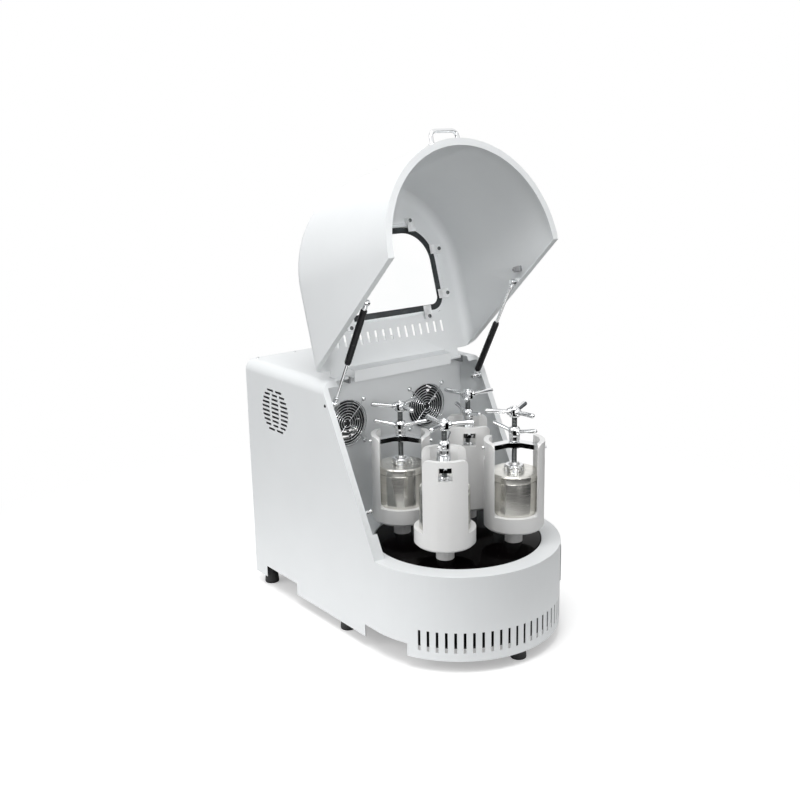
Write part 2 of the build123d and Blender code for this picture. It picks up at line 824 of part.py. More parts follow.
def fan_guards():
    front = back_wall_y
    guards = None
    for x in (-fan_x, fan_x):
        for k in range(guard_ring_count):
            outer = guard_radius - k * guard_step
            flat = RegularPolygon(outer, guard_sides) - RegularPolygon(outer - guard_wire, guard_sides)
            wire = extrude(flat, amount=guard_wire)
            hoop = Pos(x, front, fan_z) * Rot(90, 0, 0) * wire
            guards = hoop if guards is None else guards + hoop
        for turn in (45, 135):
            half = guard_wire / 2
            reach = guard_reach
            bar = box(-reach, reach, front - 2 * guard_wire, front - guard_wire, -half, half)
            bar += both_sides(box(reach - 4, reach, front - guard_wire - 0.1, front, -3, 3))
            guards += Pos(x, 0, fan_z) * Rot(0, turn, 0) * bar
    return guards


def control_panel():
    panel = ring(half_width + panel_thickness, half_width, panel_low, panel_high)
    reach = cutter
    corners = [(0, 0, panel_low)]
    for angle in (panel_from, (panel_from + panel_to) / 2, panel_to):
        corners.append((reach * cos(radians(angle)), reach * sin(radians(angle)), panel_low))
    wedge = extrude(make_face(Polyline(*corners, close=True)), amount=panel_high - panel_low, dir=(0, 0, 1))
    panel = Pos(0, axis_y, 0) * (panel & wedge)
    return panel - radial_rod(button_radius + 0.1, half_width - 10, half_width + 10, button_angle, button_z)


def start_button():
    cap = radial_rod(button_radius, half_width - 6, half_width + button_reach, button_angle, button_z)
    return cap + radial_rod(button_radius + 3, half_width - 12, half_width - 6, button_angle, button_z)


def housing_studs():
    studs = cross_rod(spring_stud_radius, spring_x - spring_eye_half - 3, half_width, spring_low_y, spring_low_z)
    studs += cross_rod(spring_eye_radius - 2, spring_x + spring_eye_half + side_gap, wall_in,
                       spring_low_y, spring_low_z)
    studs += cross_rod(6, spring_x - spring_eye_half - 3, spring_x - spring_eye_half - side_gap,
                       spring_low_y, spring_low_z)
    studs = both_sides(studs)
    # Short lock pin on the left flange
    along = (lock_pin_z - deck_top) / slope_rise
    pin_y = axis_y + slope_run * along + normal_y
    flange_edge = half_width - flange_width
    return studs + cross_rod(lock_pin_radius, -flange_edge, -flange_edge + lock_pin_length, pin_y, lock_pin_z)


def hinge_brackets():
    under = roof_top - sheet
    bracket = cross_rod(pin_radius, arm_inner - 5, arm_outer + 5, hinge_y, hinge_z)
    for x in (arm_inner - 5, arm_outer + 0.5):
        lug = box(x, x + 4.5, hinge_y - 5, hinge_y + 40, under - 16, under)
        bracket += lug
    bracket += box(arm_inner - 5, arm_outer + 5, hinge_y + 16, hinge_y + 40, under - 3, under)
    return both_sides(bracket)


def dome(inset, z0):
    """The closed hood's body down to z0: a rounded nose and a straight rear part."""
    half = half_width - inset
    radius = edge_radius - inset
    top = roof_top - inset
    corner = (half - radius, 0, top - radius)
    mid = radius * sin(radians(45))
    lines = [
        Line((0, 0, z0), (half, 0, z0)),
        Line((half, 0, z0), (half, 0, top - radius)),
        ThreePointArc((half, 0, top - radius), (corner[0] + mid, 0, corner[2] + mid), (corner[0], 0, top)),
        Line((corner[0], 0, top), (0, 0, top)),
        Line((0, 0, top), (0, 0, z0)),
    ]
    profile = make_face(lines)
    nose = Pos(0, axis_y, 0) * revolve(profile, Axis.Z, 360)
    nose -= box(-cutter, cutter, axis_y, cutter, z0 - 1, roof_top + 1)
    rear = arched(inset, axis_y, roof_front + 10) & box(-cutter, cutter, axis_y, roof_front + 10, z0, roof_top)
    return nose + rear


def behind_slope(shift):
    """Everything behind the slope plane, moved forward by shift."""
    y0 = axis_y - normal_y * shift
    z0 = deck_top - normal_z * shift
    far = 1.6
    y1 = y0 + slope_run * far
    z1 = z0 + slope_rise * far
    yb = y0 - slope_run
    zb = z0 - slope_rise
    return side_prism([(yb, zb), (y1, z1), (y1 + cutter, z1), (yb + cutter, zb)], -cutter, cutter)


def window_outline(grow, z0, z1):
    sheet_face = Rectangle(2 * (pane_half + grow), pane_rear - pane_front + 2 * grow)
    sheet_face = fillet(sheet_face.vertices().group_by(Axis.Y)[0], pane_front_corner + grow)
    sheet_face = fillet(sheet_face.vertices().group_by(Axis.Y)[-1], pane_rear_corner + grow)
    return Pos(0, (pane_front + pane_rear) / 2, z0) * extrude(sheet_face, amount=z1 - z0)


def lid_shell():
    low = deck_top + hood_gap
    outer = dome(0, low) - behind_slope(slope_gap)
    shell = outer - dome(sheet, low - 5)
    rim = ring(half_width, half_width - flange_width, low, low + sheet, 0, axis_y)
    rim -= box(-cutter, cutter, axis_y - sheet, cutter, low - 1, low + sheet + 1)
    shell += rim
    strip = slope_strip(-slope_gap - sheet, sheet, half_width - flange_width, half_width, low, roof_top)
    shell += both_sides(strip & outer)
    shell -= window_outline(0, roof_top - 5, roof_top + 1)
    for k in range(hood_slot_count):
        x = (k - (hood_slot_count - 1) / 2) * hood_slot_step
        half = hood_slot_width / 2
        shell -= box(x - half, x + half, hood_slot_front, hood_slot_rear, roof_top - 5, roof_top + 1)
    # Step that runs down and back under the roof
    edge_y = roof_front - step_front
    corner = (hinge_y - step_corner_y, hinge_z - step_corner_z)
    tip = (hinge_y + step_tip_y, hinge_z - step_tip_z)
    profile = [
        (edge_y, roof_top - sheet / 2),
        corner,
        tip,
        (tip[0] - step_sheet * 0.3, tip[1] + step_sheet),
        (corner[0] + step_sheet * 0.6, corner[1] + step_sheet * 1.4),
        (edge_y + step_sheet, roof_top - sheet / 2),
    ]
    shell += side_prism(profile, -step_half, step_half)
    # Hinge arms with their barrels
    arm_plate = box(arm_inner, arm_outer, roof_front - 5, hinge_y, roof_top - sheet, roof_top)
    arm_plate += cross_rod(barrel_radius, arm_inner, arm_outer, hinge_y, hinge_z)
    shell += both_sides(arm_plate)
    shell -= both_sides(cross_rod(pin_radius + running_gap, arm_inner - 1, arm_outer + 1, hinge_y, hinge_z))
    # Pads that the springs push on, and a lock bracket on each side
    pad_y, pad_z = closed_point(spring_high_y, spring_high_z)
    pad = cross_rod(pad_radius, pad_face_x, wall_in + sheet / 4, pad_y, pad_z) - behind_slope(slope_gap)
    lock_y = axis_y + lock_bracket_reach
    bracket = box(wall_in - lock_bracket_width, wall_in, lock_y, lock_y + lock_bracket_depth,
                  lock_bracket_low, lock_bracket_high)
    shell += both_sides(pad + bracket)
    return opened(shell)


def window_gasket():
    top = roof_top - sheet
    ring_body = window_outline(4, top - gasket_thickness, top)
    ring_body -= window_outline(-gasket_inset, top - gasket_thickness - 1, top + 1)
    return opened(ring_body)


def lid_window():
    top = roof_top - sheet - gasket_thickness
    return opened(window_outline(pane_overlap, top - pane_thickness, top))


def clip(x, y, turn):
    """A clip that reaches over the pane's edge towards its own +X."""
    half = clip_size / 2
    top = roof_top - sheet
    low = top - gasket_thickness - pane_thickness
    body = box(-half, clip_reach, -half, half, low - clip_thickness, low)
    body += box(-half, 0, -half, half, low, top)
    return Pos(x, y, 0) * Rot(0, 0, turn) * body


def window_clips():
    reach = pane_overlap + clip_gap
    edge = pane_half + reach
    clips = clip(edge, axis_y - side_clip_front, 180) + clip(edge, axis_y + side_clip_rear, 180)
    inner = pane_half - end_clip_inset
    clips += clip(inner, pane_front - reach, 90) + clip(inner, pane_rear + reach, -90)
    return opened(both_sides(clips))


def lid_handle():
    wall_y = axis_y - (half_width**2 - handle_half**2) ** 0.5
    bar_y = front_y - handle_out
    grip = cross_rod(handle_radius, -handle_half - handle_radius, handle_half + handle_radius, bar_y, handle_z)
    grip += both_sides(depth_rod(handle_radius, bar_y, wall_y + handle_radius, handle_half, handle_z))
    # The legs end flush on the round wall
    low = handle_z - 2 * handle_radius
    high = handle_z + 2 * handle_radius
    return opened(grip - upright(half_width, low, high, 0, axis_y))


def spring_frame():
    """The lower pivot, the direction to the upper one and the length between them."""
    dy = spring_high_y - spring_low_y
    dz = spring_high_z - spring_low_z
    return hypot(dy, dz), degrees(atan2(dy, dz))


def place_spring(shape, side):
    """Puts a spring made along +Z from its lower eye into the machine."""
    length, lean = spring_frame()
    return Pos(side * spring_x, spring_low_y, spring_low_z) * Rot(-lean, 0, 0) * shape


def spring_eye(z, bore, side=0):
    eye = Pos(0, 0, z) * Rot(0, 90, 0) * Cylinder(spring_eye_radius, 2 * spring_eye_half)
    if bore:
        eye -= Pos(0, 0, z) * Rot(0, 90, 0) * Cylinder(bore, 40)
        return eye
    reach = pad_face_x - side_gap - spring_x
    return eye + Pos(side * reach / 2, 0, z) * Rot(0, 90, 0) * Cylinder(5, reach)


def spring_tube(z0, gland_low):
    """The tube from z0, with the rod's gland at its lower or upper end."""
    z1 = z0 + spring_tube_length
    tube = upright(spring_tube_radius, z0, z1) - upright(spring_tube_bore, z0 + spring_gland, z1 - spring_gland)
    hole = upright(spring_rod_radius + running_gap, z0 - 1, z0 + spring_gland + 1)
    if not gland_low:
        hole = upright(spring_rod_radius + running_gap, z1 - spring_gland - 1, z1 + 1)
    return tube - hole


def spring_rod(z0, z1, piston_z):
    rod = upright(spring_rod_radius, z0, z1)
    return rod + upright(spring_tube_bore - running_gap, piston_z - piston_half, piston_z + piston_half)


def left_spring_cylinder():
    length, lean = spring_frame()
    z0 = length - spring_end_gap - spring_tube_length
    neck = upright(spring_neck_radius, length - spring_end_gap - 1, length - spring_neck_reach)
    body = spring_tube(z0, True) + neck
    return place_spring(body + spring_eye(length, 0, -1), -1)


def left_spring_rod():
    length, lean = spring_frame()
    z0 = length - spring_end_gap - spring_tube_length
    hole = spring_stud_radius + running_gap
    end = z0 + spring_end_gap
    body = spring_rod(spring_neck_reach, end, end) - Rot(0, 90, 0) * Cylinder(hole, 40)
    return place_spring(body + spring_eye(0, hole), -1)


def right_spring_cylinder():
    hole = spring_stud_radius + running_gap
    neck = upright(spring_neck_radius, spring_neck_reach, spring_end_gap + 1)
    body = spring_tube(spring_end_gap, False) + neck - Rot(0, 90, 0) * Cylinder(hole, 40)
    return place_spring(body + spring_eye(0, hole), 1)


def right_spring_rod():
    length, lean = spring_frame()
    end = spring_tube_length
    body = spring_rod(end, length - spring_neck_reach, end)
    return place_spring(body + spring_eye(length, 0, 1), 1)


def sun_gear():
    return gear(0, axis_y, 0, sun_bore)


def save(name, shape):
    export_step(shape, f"parts/{name}.step")


os.makedirs("parts", exist_ok=True)

save("housing_shell", housing_shell())
save("deck_ring", deck_ring())
save("chamber_back_panel", chamber_back_panel())
save("rear_panel", rear_panel())
save("base_plate", base_plate())
save("rubber_feet", rubber_feet())
save("drive_motor", drive_motor())
save("motor_pulley", motor_pulley())
save("drive_belt", drive_belt())
save("main_shaft", main_shaft())
save("bearing_column", bearing_column())
save("sun_gear", sun_gear())
save("turntable", turntable())
save("fan_frames", fan_frames())
save("fan_guards", fan_guards())
save("left_fan_rotor", fan_rotor(-fan_x))
save("right_fan_rotor", fan_rotor(fan_x))
save("control_panel", control_panel())
save("start_button", start_button())
save("power_inlet", power_inlet())
save("power_switch", power_switch())
save("housing_studs", housing_studs())
save("hinge_brackets", hinge_brackets())
save("lid_shell", lid_shell())
save("lid_window", lid_window())
save("window_gasket", window_gasket())
save("window_clips", window_clips())
save("lid_handle", lid_handle())
save("left_spring_cylinder", left_spring_cylinder())
save("left_spring_rod", left_spring_rod())
save("right_spring_cylinder", right_spring_cylinder())
save("right_spring_rod", right_spring_rod())
for n in range(pot_count):
    save(f"planet_gear_{n + 1}", planet_gear(n))
    save(f"pot_holder_{n + 1}", pot_holder(n))
    save(f"jar_{n + 1}", jar(n))
    save(f"jar_lid_{n + 1}", jar_lid(n))
    save(f"clamp_bar_{n + 1}", clamp_bar(n))
    save(f"lock_nut_{n + 1}", lock_nut(n))
    save(f"clamp_screw_{n + 1}", clamp_screw(n))
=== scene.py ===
"""Dresses a bench planetary ball mill: coated sheet metal, clamped steel jars, hood, springs and studio."""

import json
from math import atan2, cos, degrees, hypot, pi, radians, sin, sqrt

import bmesh
import bpy
from bpy.props import FloatProperty, FloatVectorProperty, IntProperty, PointerProperty
from mathutils import Matrix, Vector

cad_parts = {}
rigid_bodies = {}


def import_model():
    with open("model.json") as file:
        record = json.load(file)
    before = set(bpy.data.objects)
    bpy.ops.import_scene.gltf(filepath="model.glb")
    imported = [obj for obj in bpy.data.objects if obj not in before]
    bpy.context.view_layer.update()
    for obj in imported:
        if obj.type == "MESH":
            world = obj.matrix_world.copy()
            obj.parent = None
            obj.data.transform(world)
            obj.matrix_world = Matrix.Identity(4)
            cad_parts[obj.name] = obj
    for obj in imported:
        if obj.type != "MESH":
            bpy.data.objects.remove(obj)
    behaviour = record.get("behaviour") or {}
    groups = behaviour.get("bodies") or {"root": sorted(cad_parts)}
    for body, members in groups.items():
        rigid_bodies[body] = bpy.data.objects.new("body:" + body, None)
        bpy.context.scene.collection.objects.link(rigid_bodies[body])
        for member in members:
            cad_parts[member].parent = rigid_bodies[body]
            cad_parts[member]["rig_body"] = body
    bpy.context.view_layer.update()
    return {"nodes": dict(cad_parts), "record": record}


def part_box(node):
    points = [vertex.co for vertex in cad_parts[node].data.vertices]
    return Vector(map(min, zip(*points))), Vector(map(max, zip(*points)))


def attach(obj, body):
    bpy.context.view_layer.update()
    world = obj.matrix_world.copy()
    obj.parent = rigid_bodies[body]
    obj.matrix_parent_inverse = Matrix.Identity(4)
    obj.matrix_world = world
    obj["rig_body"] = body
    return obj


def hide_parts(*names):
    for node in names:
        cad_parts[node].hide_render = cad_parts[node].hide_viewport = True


bl_info = {
    "name": "Planetary Ball Mill",
    "version": (1, 0, 0),
    "blender": (4, 5, 0),
    "location": "3D View > Sidebar > Ball Mill",
    "description": "Builds the finished surfaces and fittings of a bench planetary ball mill",
    "category": "Object",
}

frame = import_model()

MM = 0.001
POTS = (1, 2, 3, 4)

# Places that the pieces share, in metres
turntable_y = -0.144
deck_height = 0.222
roof_height = 0.586
back_wall_y = 0.116
hinge_place = Vector((0, 0.0648, 0.5814))
hood_angle = radians(106.73)
spring_low = (0.030, 0.536)
spring_high = (-0.101, 0.780)
fan_x = 0.120
fan_height = 0.4575
star_turns = (-35, 25, -14, 18)
nut_turns = (40, 99, 77, 139)


# Mesh building

def turn_z(angle):
    return Matrix.Rotation(radians(angle), 4, "Z")


def along_x(x, y, z, sign=1):
    """Turns +Z to +X or -X and moves to a point."""
    return Matrix.Translation((x, y, z)) @ Matrix.Rotation(sign * pi / 2, 4, "Y")


def along_y(x, y, z, sign=1):
    """Turns +Z to +Y or -Y and moves to a point."""
    return Matrix.Translation((x, y, z)) @ Matrix.Rotation(-sign * pi / 2, 4, "X")


def hood_open():
    """The move that takes a point of the closed hood to where it stands open."""
    turn = Matrix.Rotation(-hood_angle, 4, "X")
    return Matrix.Translation(hinge_place) @ turn @ Matrix.Translation(-hinge_place)


def rounded(points, radius, steps=3):
    """The same open profile with its inner corners rounded."""
    made = [points[0]]
    for before, corner, after in zip(points, points[1:], points[2:]):
        a = Vector(before[:2]) - Vector(corner[:2])
        b = Vector(after[:2]) - Vector(corner[:2])
        cut = min(radius, a.length * 0.45, b.length * 0.45)
        start = Vector(corner[:2]) + a.normalized() * cut
        end = Vector(corner[:2]) + b.normalized() * cut
        for k in range(steps + 1):
            t = k / steps
            point = start * (1 - t) ** 2 + Vector(corner[:2]) * 2 * t * (1 - t) + end * t**2
            made.append((point.x, point.y))
    made.append(points[-1])
    return made


def add_turned(form, points, place=None, sides=96, shape=None):
    """Adds a profile of (radius, height) turned round +Z; shape(angle, k) scales ring k."""
    place = place or Matrix.Identity(4)
    marks = form.loops.layers.uv.verify()
    rings = []
    length = [0.0]
    for a, b in zip(points, points[1:]):
        length.append(length[-1] + hypot(b[0] - a[0], b[1] - a[1]))
    for k, (radius, height) in enumerate(points):
        if radius < 1e-7:
            rings.append([form.verts.new(place @ Vector((0, 0, height)))])
            continue
        ring = []
        for s in range(sides):
            angle = 2 * pi * s / sides
            reach = radius * (shape(angle, k) if shape else 1)
            ring.append(form.verts.new(place @ Vector((reach * cos(angle), reach * sin(angle), height))))
        rings.append(ring)
    for k, (low, high) in enumerate(zip(rings, rings[1:])):
        if len(low) == 1 and len(high) == 1:
            continue
        for s in range(sides):
            t = (s + 1) % sides
            if len(low) == 1:
                corners = [low[0], high[t], high[s]]
                spots = [(s + 0.5, k), (s + 1, k + 1), (s, k + 1)]
            elif len(high) == 1:
                corners = [low[s], low[t], high[0]]
                spots = [(s, k), (s + 1, k), (s + 0.5, k + 1)]
            else:
                corners = [low[s], low[t], high[t], high[s]]
                spots = [(s, k), (s + 1, k), (s + 1, k + 1), (s, k + 1)]
            face = form.faces.new(corners)
            face.smooth = True
            for loop, (u, v) in zip(face.loops, spots):
                loop[marks].uv = (u / sides, length[v])


def add_block(form, low, high, round_by=0.0, place=None, steps=2):
    """Adds a box with rounded edges."""
    low, high = Vector(low), Vector(high)
    size = Matrix.Diagonal((*(high - low), 1))
    where = Matrix.Translation((low + high) / 2) @ size
    made = bmesh.ops.create_cube(form, size=1, matrix=where)["verts"]
    if round_by:
        edges = list({e for v in made for e in v.link_edges})
        grown = bmesh.ops.bevel(form, geom=edges, offset=round_by, segments=steps, affect="EDGES",
                                profile=0.5)
        made = list({v for f in grown["faces"] for v in f.verts} | {v for v in made if v.is_valid})
    if place:
        bmesh.ops.transform(form, matrix=place, verts=made)


def add_tube(form, path, radius, sides=16, closed=False):
    """Adds a round wire along a list of points."""
    marks = form.loops.layers.uv.verify()
    points = [Vector(p) for p in path]
    count = len(points)
    rings = []
    normal = None
    run = 0.0
    runs = []
    for k, point in enumerate(points):
        ahead = points[(k + 1) % count] if closed or k + 1 < count else point
        behind = points[k - 1] if closed or k else point
        tangent = (ahead - behind).normalized()
        if normal is None:
            normal = tangent.orthogonal().normalized()
        normal = (normal - tangent * normal.dot(tangent)).normalized()
        side = tangent.cross(normal)
        ring = []
        for s in range(sides):
            angle = 2 * pi * s / sides
            ring.append(form.verts.new(point + (normal * cos(angle) + side * sin(angle)) * radius))
        rings.append(ring)
        runs.append(run)
        run += (points[(k + 1) % count] - point).length
    pairs = list(zip(rings, rings[1:]))
    if closed:
        pairs.append((rings[-1], rings[0]))
    for k, (low, high) in enumerate(pairs):
        for s in range(sides):
            t = (s + 1) % sides
            face = form.faces.new([low[s], low[t], high[t], high[s]])
            face.smooth = True
            for loop, (u, v) in zip(face.loops, ((s, k), (s + 1, k), (s + 1, k + 1), (s, k + 1))):
                loop[marks].uv = (u / sides, runs[v] if v < count else run)
    if not closed:
        form.faces.new(list(reversed(rings[0])))
        form.faces.new(rings[-1])


def bent_path(corners, radius, steps=6):
    """A path through corner points with its bends rounded."""
    made = [Vector(corners[0])]
    for before, corner, after in zip(corners, corners[1:], corners[2:]):
        before, corner, after = Vector(before), Vector(corner), Vector(after)
        a = (before - corner)
        b = (after - corner)
        cut = min(radius, a.length * 0.49, b.length * 0.49)
        start = corner + a.normalized() * cut
        end = corner + b.normalized() * cut
        for k in range(steps + 1):
            t = k / steps
            made.append(start * (1 - t) ** 2 + corner * 2 * t * (1 - t) + end * t**2)
    made.append(Vector(corners[-1]))
    return made


def mesh_of(form, name, sharp=32, fix_normals=True):
    if fix_normals:
        bmesh.ops.recalc_face_normals(form, faces=form.faces)
    mesh = bpy.data.meshes.new(name)
    for face in form.faces:
        face.smooth = True
    form.to_mesh(mesh)
    form.free()
    mesh.set_sharp_from_angle(angle=radians(sharp))
    return mesh


def piece(name, mesh, body, slot, material, *nodes):
    made = bpy.data.objects.new(name, mesh)
    bpy.context.scene.collection.objects.link(made)
    mesh.materials.clear()
    mesh.materials.append(material)
    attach(made, body)
    if nodes:
        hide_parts(*nodes)
    return made


def slot_of(node):
    found = [s["material_slot"] for s in frame["record"]["subparts"] if s["node"] == node]
    return found[0]


def dressed(node, name, material, edge=0.5, steps=2, sharp=30, heavy=None):
    """A copy of a node's surface with its facets merged and its edges rounded."""
    source = frame["nodes"][node]
    form = bmesh.new()
    form.from_mesh(source.data)
    bmesh.ops.remove_doubles(form, verts=form.verts, dist=1e-6)
    bmesh.ops.dissolve_limit(form, angle_limit=radians(0.5), verts=form.verts, edges=form.edges)
    if heavy:
        weights = form.edges.layers.float.new("bevel_weight_edge")
        for line in form.edges:
            bent = len(line.link_faces) == 2 and line.calc_face_angle(0) > radians(sharp)
            line[weights] = heavy((line.verts[0].co + line.verts[1].co) / 2) if bent else 0.0
    mesh = mesh_of(form, name, sharp, fix_normals=False)
    made = piece(name, mesh, source["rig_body"], slot_of(node), material, node)
    soften = made.modifiers.new("edges", "BEVEL")
    soften.width = edge * MM
    soften.segments = steps
    soften.limit_method = "WEIGHT" if heavy else "ANGLE"
    soften.angle_limit = radians(sharp)
    soften.harden_normals = False
    soften.use_clamp_overlap = True
    return made


# Surface finishes

def new_finish(name):
    made = bpy.data.materials.new(name)
    made.use_nodes = True
    return made, made.node_tree, made.node_tree.nodes["Principled BSDF"]


def node(tree, kind, **values):
    made = tree.nodes.new(kind)
    for key, value in values.items():
        setattr(made, key, value)
    return made


def object_noise(tree, scale, detail=2.0, stretch=(1, 1, 1)):
    spot = node(tree, "ShaderNodeTexCoord")
    where = node(tree, "ShaderNodeMapping")
    where.inputs["Scale"].default_value = stretch
    noise = node(tree, "ShaderNodeTexNoise")
    noise.inputs["Scale"].default_value = scale
    noise.inputs["Detail"].default_value = detail
    tree.links.new(spot.outputs["Object"], where.inputs["Vector"])
    tree.links.new(where.outputs["Vector"], noise.inputs["Vector"])
    return noise.outputs["Fac"]


def surface_noise(tree, scale, stretch=(1, 1, 1), detail=2.0):
    spot = node(tree, "ShaderNodeUVMap")
    where = node(tree, "ShaderNodeMapping")
    where.inputs["Scale"].default_value = stretch
    noise = node(tree, "ShaderNodeTexNoise")
    noise.inputs["Scale"].default_value = scale
    noise.inputs["Detail"].default_value = detail
    tree.links.new(spot.outputs["UV"], where.inputs["Vector"])
    tree.links.new(where.outputs["Vector"], noise.inputs["Vector"])
    return noise.outputs["Fac"]


def between(tree, value, low, high, from_low=0.3, from_high=0.7):
    made = node(tree, "ShaderNodeMapRange")
    made.inputs["From Min"].default_value = from_low
    made.inputs["From Max"].default_value = from_high
    made.inputs["To Min"].default_value = low
    made.inputs["To Max"].default_value = high
    tree.links.new(value, made.inputs["Value"])
    return made.outputs["Result"]


def blended(tree, factor, first, second):
    made = node(tree, "ShaderNodeMix", data_type="RGBA")
    made.inputs[6].default_value = (*first, 1)
    made.inputs[7].default_value = (*second, 1)
    tree.links.new(factor, made.inputs[0])
    return made.outputs[2]


def raised(tree, shader, height, strength, distance):
    bump = node(tree, "ShaderNodeBump")
    bump.inputs["Strength"].default_value = strength
    bump.inputs["Distance"].default_value = distance
    tree.links.new(height, bump.inputs["Height"])
    tree.links.new(bump.outputs["Normal"], shader.inputs["Normal"])
    return bump


def shaded(color, share):
    return tuple(c * share for c in color[:3])


def powder_coat(name, color, rough=0.42, painted_inside_shade=None):
    """Sprayed coat with a fine orange peel; an optional step paints near-black shade onto what lies behind
    the walls.
    """
    made, tree, shader = new_finish(name)
    cloud = object_noise(tree, 7.0, 3.0)
    tone = blended(tree, between(tree, cloud, 0, 1), shaded(color, 0.975), shaded(color, 1.0))
    # The optional step paints the machine room's shade into the coat's colour
    if painted_inside_shade:
        tone = painted_inside_shade(tree, tone)
    tree.links.new(tone, shader.inputs["Base Color"])
    grain = object_noise(tree, 420.0, 2.0)
    tree.links.new(between(tree, grain, rough - 0.05, rough + 0.05), shader.inputs["Roughness"])
    peel = object_noise(tree, 700.0, 1.0)
    raised(tree, shader, peel, 0.10, 0.0002)
    shader.inputs["IOR"].default_value = 1.48
    return made


def painted_machine_room_shade(tree, tone):
    """Painted shade: near-black colour where the inner wall faces the motor and the fans, inside the closed
    machine room.
    """
    spot = node(tree, "ShaderNodeTexCoord")
    split = node(tree, "ShaderNodeSeparateXYZ")
    tree.links.new(spot.outputs["Object"], split.inputs[0])

    def compare(value, kind, limit):
        made = node(tree, "ShaderNodeMath", operation=kind)
        tree.links.new(value, made.inputs[0])
        made.inputs[1].default_value = limit
        return made.outputs[0]

    def combine(kind, a, b):
        made = node(tree, "ShaderNodeMath", operation=kind)
        tree.links.new(a, made.inputs[0])
        if b is None:
            made.inputs[1].default_value = 2.0
        else:
            tree.links.new(b, made.inputs[1])
        return made.outputs[0]

    def past(value, limit):
        """How far a value lies beyond a limit, or nothing."""
        return compare(compare(value, "SUBTRACT", limit), "MAXIMUM", 0.0)

    width = node(tree, "ShaderNodeMath", operation="ABSOLUTE")
    tree.links.new(split.outputs["X"], width.inputs[0])
    out = node(tree, "ShaderNodeVectorMath", operation="DISTANCE")
    flat = node(tree, "ShaderNodeCombineXYZ")
    tree.links.new(split.outputs["X"], flat.inputs["X"])
    tree.links.new(split.outputs["Y"], flat.inputs["Y"])
    tree.links.new(flat.outputs[0], out.inputs[0])
    out.inputs[1].default_value = (0, turntable_y, 0)
    corner = combine("POWER", past(width.outputs[0], 0.208), None)
    height = combine("POWER", past(split.outputs["Z"], roof_height - 0.027), None)
    under_arch = compare(combine("ADD", corner, height), "LESS_THAN", 0.0260**2)
    behind = compare(split.outputs["Y"], "GREATER_THAN", back_wall_y + 0.002)
    under = compare(split.outputs["Z"], "LESS_THAN", deck_height - 0.0022)
    nose = compare(out.outputs["Value"], "LESS_THAN", 0.2334)
    rear = compare(split.outputs["Y"], "LESS_THAN", 0.3766)
    straight = compare(split.outputs["Y"], "GREATER_THAN", turntable_y)
    shaded_rooms = combine("MULTIPLY", under_arch, combine("MAXIMUM", nose, straight))
    shaded_rooms = combine("MULTIPLY", shaded_rooms, combine("MULTIPLY", rear, combine("MAXIMUM", behind, under)))
    mix = node(tree, "ShaderNodeMix", data_type="RGBA")
    tree.links.new(shaded_rooms, mix.inputs[0])
    tree.links.new(tone, mix.inputs[6])
    # Near-black painted shade for the closed rooms behind the walls and under the deck
    mix.inputs[7].default_value = (0.03, 0.03, 0.032, 1)
    return mix.outputs[2]


def turned_steel(name, color, rough, stretch=0.7, lines=2600.0):
    """Bare steel with fine rings left by the lathe or the brush."""
    made, tree, shader = new_finish(name)
    shader.inputs["Metallic"].default_value = 1.0
    rings = surface_noise(tree, 1.0, (3.0, lines, 1.0), 3.0)
    bands = surface_noise(tree, 1.0, (9.0, lines / 120, 1.0), 2.0)
    tree.links.new(blended(tree, between(tree, bands, 0, 1), shaded(color, 0.86), color),
                   shader.inputs["Base Color"])
    tree.links.new(between(tree, rings, rough - 0.07, rough + 0.10), shader.inputs["Roughness"])
    raised(tree, shader, rings, 0.12, 0.0001)
    shader.inputs["Anisotropic"].default_value = stretch
    shader.inputs["Anisotropic Rotation"].default_value = 0.25
    way = node(tree, "ShaderNodeTangent", direction_type="UV_MAP")
    tree.links.new(way.outputs[0], shader.inputs["Tangent"])
    return made


def plain_steel(name, color, rough):
    made, tree, shader = new_finish(name)
    shader.inputs["Metallic"].default_value = 1.0
    cloud = object_noise(tree, 60.0, 3.0)
    tree.links.new(blended(tree, between(tree, cloud, 0, 1), shaded(color, 0.9), color),
                   shader.inputs["Base Color"])
    tree.links.new(between(tree, cloud, rough, rough + 0.1), shader.inputs["Roughness"])
    raised(tree, shader, object_noise(tree, 500.0), 0.05, 0.0001)
    return made


def chrome_plate(name, color):
    made, tree, shader = new_finish(name)
    shader.inputs["Metallic"].default_value = 1.0
    cloud = object_noise(tree, 45.0, 3.0)
    tree.links.new(blended(tree, between(tree, cloud, 0, 1), shaded(color, 0.94), color),
                   shader.inputs["Base Color"])
    tree.links.new(between(tree, cloud, 0.05, 0.13), shader.inputs["Roughness"])
    raised(tree, shader, object_noise(tree, 220.0), 0.03, 0.0002)
    return made


def gloss_enamel(name, color, rough, specks=0.0, shine=0.25):
    made, tree, shader = new_finish(name)
    cloud = object_noise(tree, 18.0, 4.0)
    tone = blended(tree, between(tree, cloud, 0, 1), shaded(color, 0.8), shaded(color, 1.2))
    if specks:
        dust = node(tree, "ShaderNodeTexVoronoi")
        dust.inputs["Scale"].default_value = 70.0
        spot = node(tree, "ShaderNodeTexCoord")
        tree.links.new(spot.outputs["Object"], dust.inputs["Vector"])
        mix = node(tree, "ShaderNodeMix", data_type="RGBA")
        tree.links.new(between(tree, dust.outputs["Distance"], specks, 0, 0.02, 0.06), mix.inputs[0])
        tree.links.new(tone, mix.inputs[6])
        mix.inputs[7].default_value = (0.35, 0.34, 0.33, 1)
        tone = mix.outputs[2]
    tree.links.new(tone, shader.inputs["Base Color"])
    tree.links.new(between(tree, cloud, rough, rough + 0.06), shader.inputs["Roughness"])
    shader.inputs["Specular IOR Level"].default_value = shine
    raised(tree, shader, object_noise(tree, 300.0), 0.02, 0.0002)
    return made


